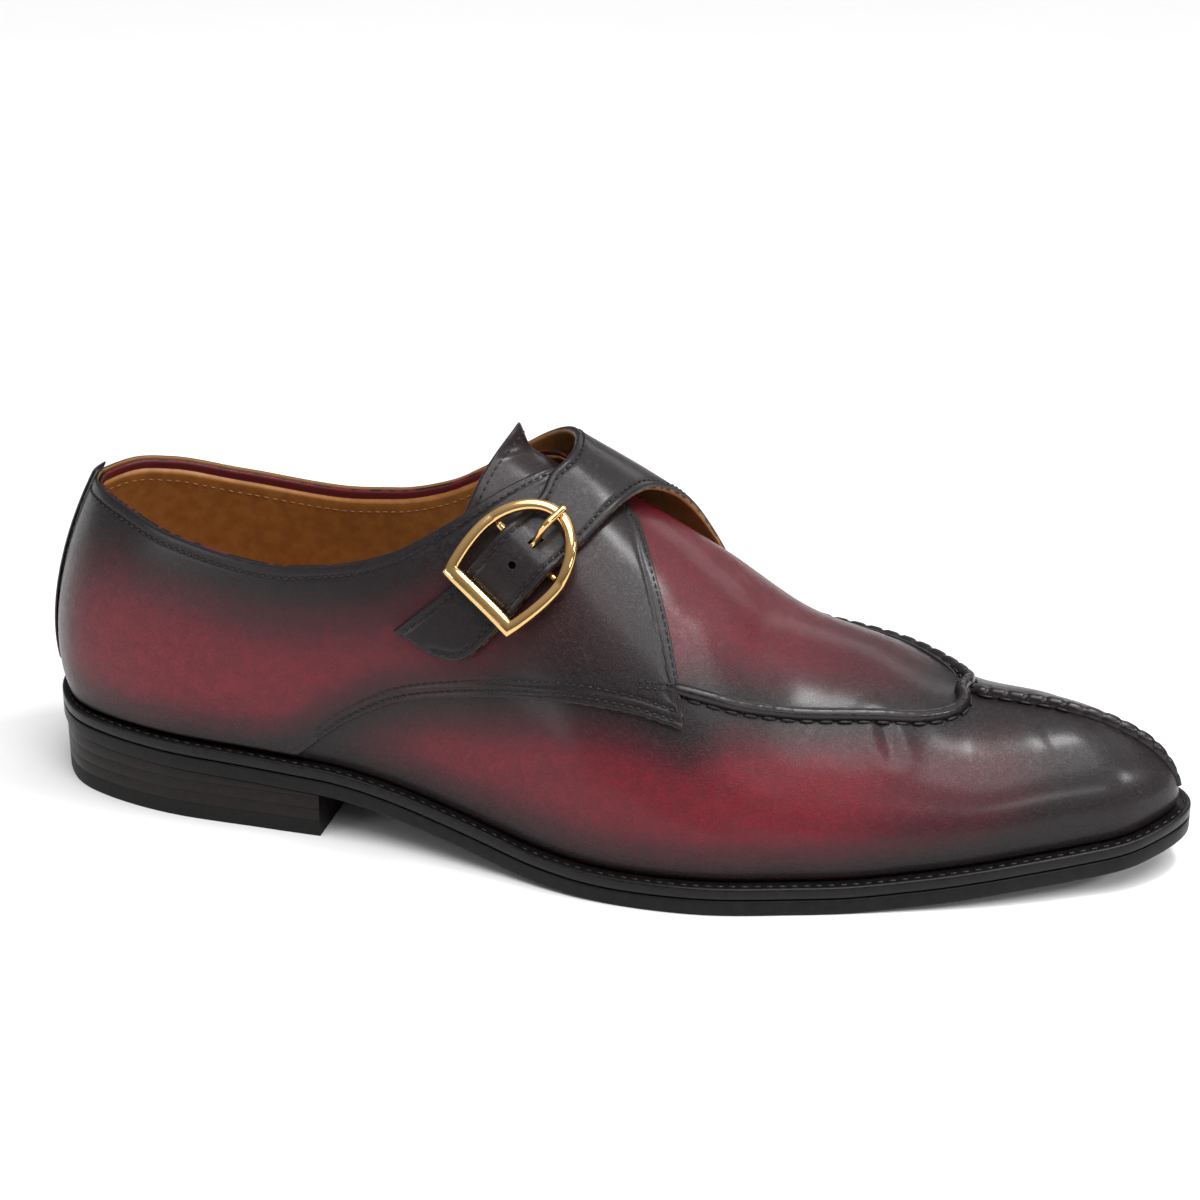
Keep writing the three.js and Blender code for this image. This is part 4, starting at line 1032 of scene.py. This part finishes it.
# Hole of the strap, cut along the leather's normal: a slot where a length is given, otherwise round
def cutHole(obj, alpha, width, length=0):
    foot, tip = (rowFrame(atBuckle(np.array(alpha), np.array(0.0), overPost + rise)) for rise in (1.1, 2.1))
    normal = Vector(tip - foot).normalized()
    along = Vector(alphaAxis)
    along = (along - normal * along.dot(normal)).normalized()
    axes = Matrix((along, normal.cross(along), normal)).transposed().to_4x4()
    matrix = Matrix.Translation(Vector(foot)) @ axes
    radius, depth = width / 2000, strap["cutDepth"] / 1000
    bm = bmesh.new()
    if length:
        size = Matrix.Diagonal((length / 1000, width / 1000, depth, 1))
        bmesh.ops.create_cube(bm, size=1, matrix=matrix @ size)
    else:
        ends = {"segments": 24, "radius1": radius, "radius2": radius}
        bmesh.ops.create_cone(bm, cap_ends=True, depth=depth, matrix=matrix, **ends)
    cutter = shown("cutter", meshOf(bm, "cutter"))
    modifier = obj.modifiers.new("hole", "BOOLEAN")
    modifier.operation, modifier.solver, modifier.object = "DIFFERENCE", "EXACT", cutter
    bpy.context.view_layer.update()
    result = bpy.data.meshes.new_from_object(obj.evaluated_get(bpy.context.evaluated_depsgraph_get()))
    obj.modifiers.clear()
    obj.data = result
    bpy.data.objects.remove(cutter)
    reach = 0.75 * (length or width / 2) / 1000 + 0.001
    shade = result.attributes["patina"].data
    for vert in result.vertices:
        if (vert.co - Vector(foot)).length < reach:
            shade[vert.index].value = 1.0


cutHole(bandObj, -(buckle["postBack"] + strap["slotShow"] * 0.85), strap["slotWidth"], strap["slotShow"])
cutHole(bandObj, -strap["holeBack"], strap["hole"])
print("strap ready")

# Tongue
tongue = {
    "leather": 1.6, "clearance": 1.4, "rise": 3.4, "rear": 5.86, "slant": 0.95, "front": 7.6, "sides": 0.46,
    "wall": 1.6, "roll": 0.8, "dark": 0.8,
}
tongueSeat = -(tongue["wall"] + tongue["clearance"])


def tongueRear(side):
    return tongue["rear"] - tongue["slant"] * (np.hypot(side, 0.06) - 0.06)


def tongueChart(u, s):
    rear = tongueRear(u)
    return rear + s * (tongue["front"] - rear), u


def tongueHigh(rib, side, u):
    clear = 1 - np.abs(side) - collar(rib) - 0.13
    free = ease(clear / 0.16) * ease((throatRib - 0.2 - rib) / 0.5)
    return tongueSeat + free * (tongue["rise"] - tongueSeat)


def tongueLow(rib, side, u):
    return tongueHigh(rib, side, u) - tongue["leather"]


tongueEdge = tongue["sides"] - np.array([0, 0.003, 0.008])
tongueUs = np.concatenate([-tongueEdge, np.linspace(-0.44, 0.44, 60), tongueEdge[::-1]])
tongueBm = panel(tongueUs, 46, tongueChart, tongueLow, tongueHigh, tongue["roll"], evenly(tongue["dark"]))
piece(tongueBm, "tongueLeather", ["tongue"], "strap")
print("tongue ready")

# Raised seams, drawn in by their stitches
seam = {
    "width": 3.5, "height": 2.6, "seat": -0.25, "pitch": 4.9, "stitch": 4.3, "thread": 0.95, "outside": 0.25,
    "pinch": 0.16, "sidePinch": 0.02, "bead": 0.62, "beadIn": 3.5,
}


def seamFrame(rib, side):
    base, normal = onLast(rib, side)
    along = np.gradient(base, axis=0)
    along = unit(along - normal * (along * normal).sum(1, keepdims=True))
    return base, normal, np.cross(along, normal)


def lengthAlong(path):
    return np.concatenate([[0], np.linalg.norm(np.diff(path, axis=0), axis=1).cumsum()])


# Roll along a line, tapered over the given lengths at its ends and pinched at each stitch
def seamMesh(rib, side, taperIn, taperOut, pinch):
    base, normal, across = seamFrame(rib, side)
    foot = base + normal * seam["seat"]
    run = lengthAlong(foot)
    size = ((0.45 + 0.55 * ease(run / taperIn)) * (0.45 + 0.55 * ease((run[-1] - run) / taperOut)))[:, None]
    wave = (1 - pinch * np.abs(np.cos(math.pi * run / seam["pitch"])) ** 8)[:, None]
    t = np.linspace(0, math.pi, 15)
    curve = -0.5 * np.sign(np.cos(t)) * np.abs(np.cos(t)) ** 0.85
    w = np.concatenate([[-0.5], curve, [0.5, 0, -0.5]])[None]
    h = np.concatenate([[0], 0.12 + 0.88 * np.sin(t) ** 0.9, [0, 0, 0]])[None]
    wide = w * size * seam["width"] * np.where(w > 0.2, wave, 1)
    tall = h * size * seam["height"] * np.where(h > 0.5, wave, 1)
    points = foot[:, None] + across[:, None] * wide[..., None] + normal[:, None] * tall[..., None]
    return closeUp(gridMesh(points), capEnds=True)


def offsetLine(rib, side, offset, height):
    base, normal, across = seamFrame(rib, side)
    return base + across * offset + normal * height, normal


# The apron's roll starts and ends under the quarters. A thinner bead follows it inside, on the far half.
apronRib, apronSide = runAlong([(7.62, -0.498)] + apronSeam[1:-1] + [(7.72, 0.52)], 700)
apronPinch = np.interp(np.arange(700), [300, 420], [seam["sidePinch"], seam["pinch"]])
apronBm = seamMesh(apronRib, apronSide, 5, 5, apronPinch)
beadLine, beadUp = offsetLine(apronRib[372:660], apronSide[372:660], -seam["beadIn"], 0.05)
beadSize = seam["bead"] * np.sin(np.linspace(0.25, math.pi - 0.25, len(beadLine))) ** 0.4
apronBm.from_mesh(meshOf(rodMesh(beadLine, beadUp, beadSize, False, 10), "bead"))
piece(apronBm, "apronRoll", ["apron_seam"], "seam")
toeRib = np.concatenate([np.linspace(apronTipRib + 0.12, lastRib, 150), np.full(70, lastRib)])
toeSide = np.concatenate([np.zeros(150), -np.linspace(0.012, 0.84, 70)])
piece(seamMesh(toeRib, toeSide, 3, 16, seam["pinch"]), "toeRoll", ["toe_seam"], "seam")

# Strip at the heel's back
strip = {"width": 9, "leather": 0.8, "foot": 0.13, "roll": 0.5}
stripHalf = strip["width"] / 2 / heelStep(0.4)
stripSeat = quarter["high"] + shoe["gap"] + 0.15


def stripChart(u, s):
    top = float(collar(0.0))
    up = strip["foot"] * top + s * (1 - strip["foot"]) * top
    return np.abs(u), np.where(u <= 0, up - 1, 1 - up)


stripUs = np.linspace(-stripHalf, stripHalf, 31)
stripFaces = evenly(stripSeat), evenly(stripSeat + strip["leather"])
stripBm = panel(stripUs, 60, stripChart, *stripFaces, strip["roll"], evenly(1))
piece(stripBm, "backStrip", ["back_strip"], "seam")
print("seams ready")

# Buckle
wire = buckle["wire"] / 2
postHeight = strapSeat + post / 2
sideHeight = overPost + 0.6 * post
barHeight = strapSeat + strap["leather"] + shoe["gap"] + wire + 0.25
archHeight = barHeight + 0.85 * post
barAt = buckle["bar"] - wire
archAt = -(buckle["arch"] - wire)
bellyAt = buckle["belly"] / 2 - wire
cornerAt = buckle["width"] / 2 - wire
postBack = buckle["postBack"]


def frameHeight(alpha):
    front = np.clip((alpha + postBack) / (barAt + postBack), 0, 1) ** 1.2
    back = np.clip((-postBack - alpha) / (-postBack - archAt), 0, 1) ** 0.8
    rise = np.where(alpha > -postBack, (barHeight - sideHeight) * front, (archHeight - sideHeight) * back)
    return sideHeight + rise


s = np.linspace(0.17, 1, 20)
arch = np.linspace(0, math.pi, 72)[1:-1]
barSide = np.linspace(-cornerAt + 2.6, cornerAt - 2.6, 24)
barSize = np.concatenate([[1.18], np.full(24, 1.36), [1.18]])
alphas = np.concatenate([
    np.full(26, barAt - 0.45), barAt - s * (barAt + postBack * 0.5),
    -postBack * 0.5 + (archAt + postBack * 0.5) * np.sin(arch), barAt - s[::-1] * (barAt + postBack * 0.5),
])
betas = np.concatenate([
    [-cornerAt], barSide, [cornerAt], cornerAt + (bellyAt - cornerAt) * np.sin(s * math.pi / 2),
    bellyAt * np.cos(arch), -cornerAt - (bellyAt - cornerAt) * np.sin(s[::-1] * math.pi / 2),
])
heights = frameHeight(alphas)
wirePath = atBuckle(alphas, betas, heights)
wireUp = atBuckle(alphas, betas, heights + 1) - wirePath
wireSize = np.concatenate([barSize, np.linspace(1.08, 1, 20), np.ones(70), np.linspace(1, 1.08, 20)])
wireFlat = np.concatenate([1 / barSize, np.full(110, 0.9)])
frameBm = rodMesh(wirePath, wireUp, wire * wireSize, True, 24, wireFlat, 0.82)


def sideBeta(alpha):
    return bellyAt * math.sqrt(max(0, 1 - ((alpha + postBack * 0.5) / (archAt + postBack * 0.5)) ** 2))


postReach = sideBeta(-postBack)
postBeta = np.linspace(-postReach, postReach, 40)
postRise = postHeight + (sideHeight - postHeight) * (np.abs(postBeta) / postReach) ** 16
postPath = atBuckle(-postBack, postBeta, postRise)
frameBm.from_mesh(meshOf(rodMesh(postPath, np.repeat(spotNormal[None], 40, 0), post / 2, False), "post"))
piece(frameBm, "buckleFrame", ["buckle"], "gold")

prong = buckle["prong"] / 2
hook = post / 2 + shoe["gap"] + prong * 0.8
onArch = archHeight + wire + shoe["gap"] + prong
prongRows = [
    (-postBack + hook, postHeight - post * 0.1), (-postBack + hook * 0.75, postHeight + hook * 0.75),
    (-postBack - hook * 0.2, postHeight + hook * 1.15),
    (-postBack - hook * 1.3, overPost + strap["leather"] * 0.7),
    (-(postBack + buckle["arch"]) / 2, onArch - 0.1),
    (archAt * 0.93, onArch + 0.15), (-buckle["arch"] * 0.97, onArch),
]
prongAlpha, prongHeight = runAlong(prongRows, 60)
prongPath = atBuckle(prongAlpha, 0, prongHeight)
prongRadius = prong * np.interp(np.linspace(0, 1, 60), [0, 0.4, 0.55, 1], [0.8, 0.8, 1, 1])
prongBm = rodMesh(prongPath, np.repeat(spotNormal[None], 60, 0), prongRadius, False)
piece(prongBm, "bucklePin", ["buckle_prong"], "gold")
print("buckle ready")

# Stitches: length, pitch, width and distance from the line's ends, in mm
fineStitch = (1.7, 2.15, 0.62, 1.5)
tackStitch = (1.6, 1.8, 0.6, 0.2)
liningStitch = (1.9, 2.5, 0.5, 1.5)
weltStitch = (welt["stitch"], welt["pitch"], 0.6, 1.0)
seamStitch = (seam["stitch"], seam["pitch"], seam["thread"], 1.0)
innerSeamStitch = (seam["stitch"] * 0.85, seam["pitch"] * 0.85, seam["thread"], 1.5)


# A piece of short rounded threads along lines, each with its normals and its stitch
def stitches(name, rows, thread="thread"):
    bm = bmesh.new()
    for path, normal, (length, pitch, width, lead) in rows:
        run = lengthAlong(path)
        count = int((run[-1] - 2 * lead) / pitch)
        for k in range(count + 1):
            centre = lead + (run[-1] - 2 * lead - count * pitch) / 2 + k * pitch
            spots = (centre - length / 2, centre, centre + length / 2)
            start, middle, end = (
                np.array([np.interp(spot, run, column) for column in path.T]) for spot in spots
            )
            along = Vector(end - start).normalized()
            lift = Vector([np.interp(centre, run, column) for column in normal.T]).normalized()
            across = along.cross(lift).normalized()
            turnTo = Matrix((along, across, across.cross(along))).transposed().to_4x4()
            size = Matrix.Diagonal((length / 2000, width / 2000, width / 2400, 1))
            matrix = Matrix.Translation(Vector(rowFrame(middle))) @ turnTo @ size
            bmesh.ops.create_uvsphere(bm, u_segments=6, v_segments=5, radius=1, matrix=matrix)
    piece(bm, name, [], thread)


def leatherRow(rib, side, height, stitch=fineStitch):
    base, normal = onLast(rib, side)
    return base + normal * np.broadcast_to(height, rib.shape)[:, None], normal, stitch


# Line at a distance in mm from an edge, towards the points given for the far side
def insetLine(rib, side, awayRib, awaySide, distance):
    reach = np.linalg.norm(onLast(awayRib, awaySide)[0] - onLast(rib, side)[0], axis=-1)
    share = distance / np.maximum(reach, 0.01)
    return rib + (awayRib - rib) * share, side + (awaySide - side) * share


edgeRibs, arcEdge = np.linspace(0.25, 7.8, 420), np.linspace(4.42, 7.8, 200)
quarterLines = [insetLine(edgeRibs, quarterTop(edgeRibs) - 1, edgeRibs, arcUp(edgeRibs) - 1, 3.0)]
for distance in (1.6, 4.0):
    quarterLines.append(insetLine(arcEdge, arcUp(arcEdge) - 1, arcEdge, quarterTop(arcEdge) - 1, distance))
stitches("quarterStitches", [leatherRow(*line, quarter["high"]) for line in quarterLines])

strapLines = []
for rungs, edge in ((rungPlace[91:-3], 0.0), (rungPlace[4:-3], 1.0)):
    rib, side = insetLine(*bandChart(rungs, edge), *bandChart(rungs, 1 - edge), strap["sewn"])
    strapLines.append(leatherRow(rib, side, bandHigh(rib, side, rungs)))
stitches("strapStitches", strapLines)

tongueSide = np.linspace(-0.43, 0.43, 120)
rear = tongueRear(tongueSide)
rib, side = insetLine(rear, tongueSide, rear + 0.3, tongueSide, 2.4)
stitches("tongueStitches", [leatherRow(rib, side, tongueHigh(rib, side, side))])

outside = seam["width"] / 2 + seam["outside"]
stitches("seamStitches", [
    (*offsetLine(apronRib[14:-14], apronSide[14:-14], outside, 0.4), seamStitch),
    (*offsetLine(apronRib[366:670], apronSide[366:670], -outside - 0.2, 0.4), innerSeamStitch),
    (*offsetLine(toeRib[4:148], toeSide[4:148], outside, 0.4), seamStitch),
])

t = np.linspace(0, 1, 30)
tackHeight = quarter["high"] + 0.05
tackSides = [at + 0.026 * t for at in (-0.514, -0.528)]
stitches("tackStitches", [leatherRow(7.4 + 0.32 * t, side, tackHeight, tackStitch) for side in tackSides])

rimRib = np.linspace(0, 5.9, 300)
rimSide = 1 - (collar(rimRib) - 0.05)
liningLines = [leatherRow(rimRib, side, -1.62, liningStitch) for side in (-rimSide, rimSide)]
stitches("liningStitches", liningLines, "tanThread")

weltLine = edgeRow(ringRib, ringInner, welt["stitchOut"], weltTop, -0.12)
stitches("weltStitches", [(weltLine, np.repeat([[0, 0, 1.0]], len(weltLine), 0), weltStitch)])
print("stitches ready")
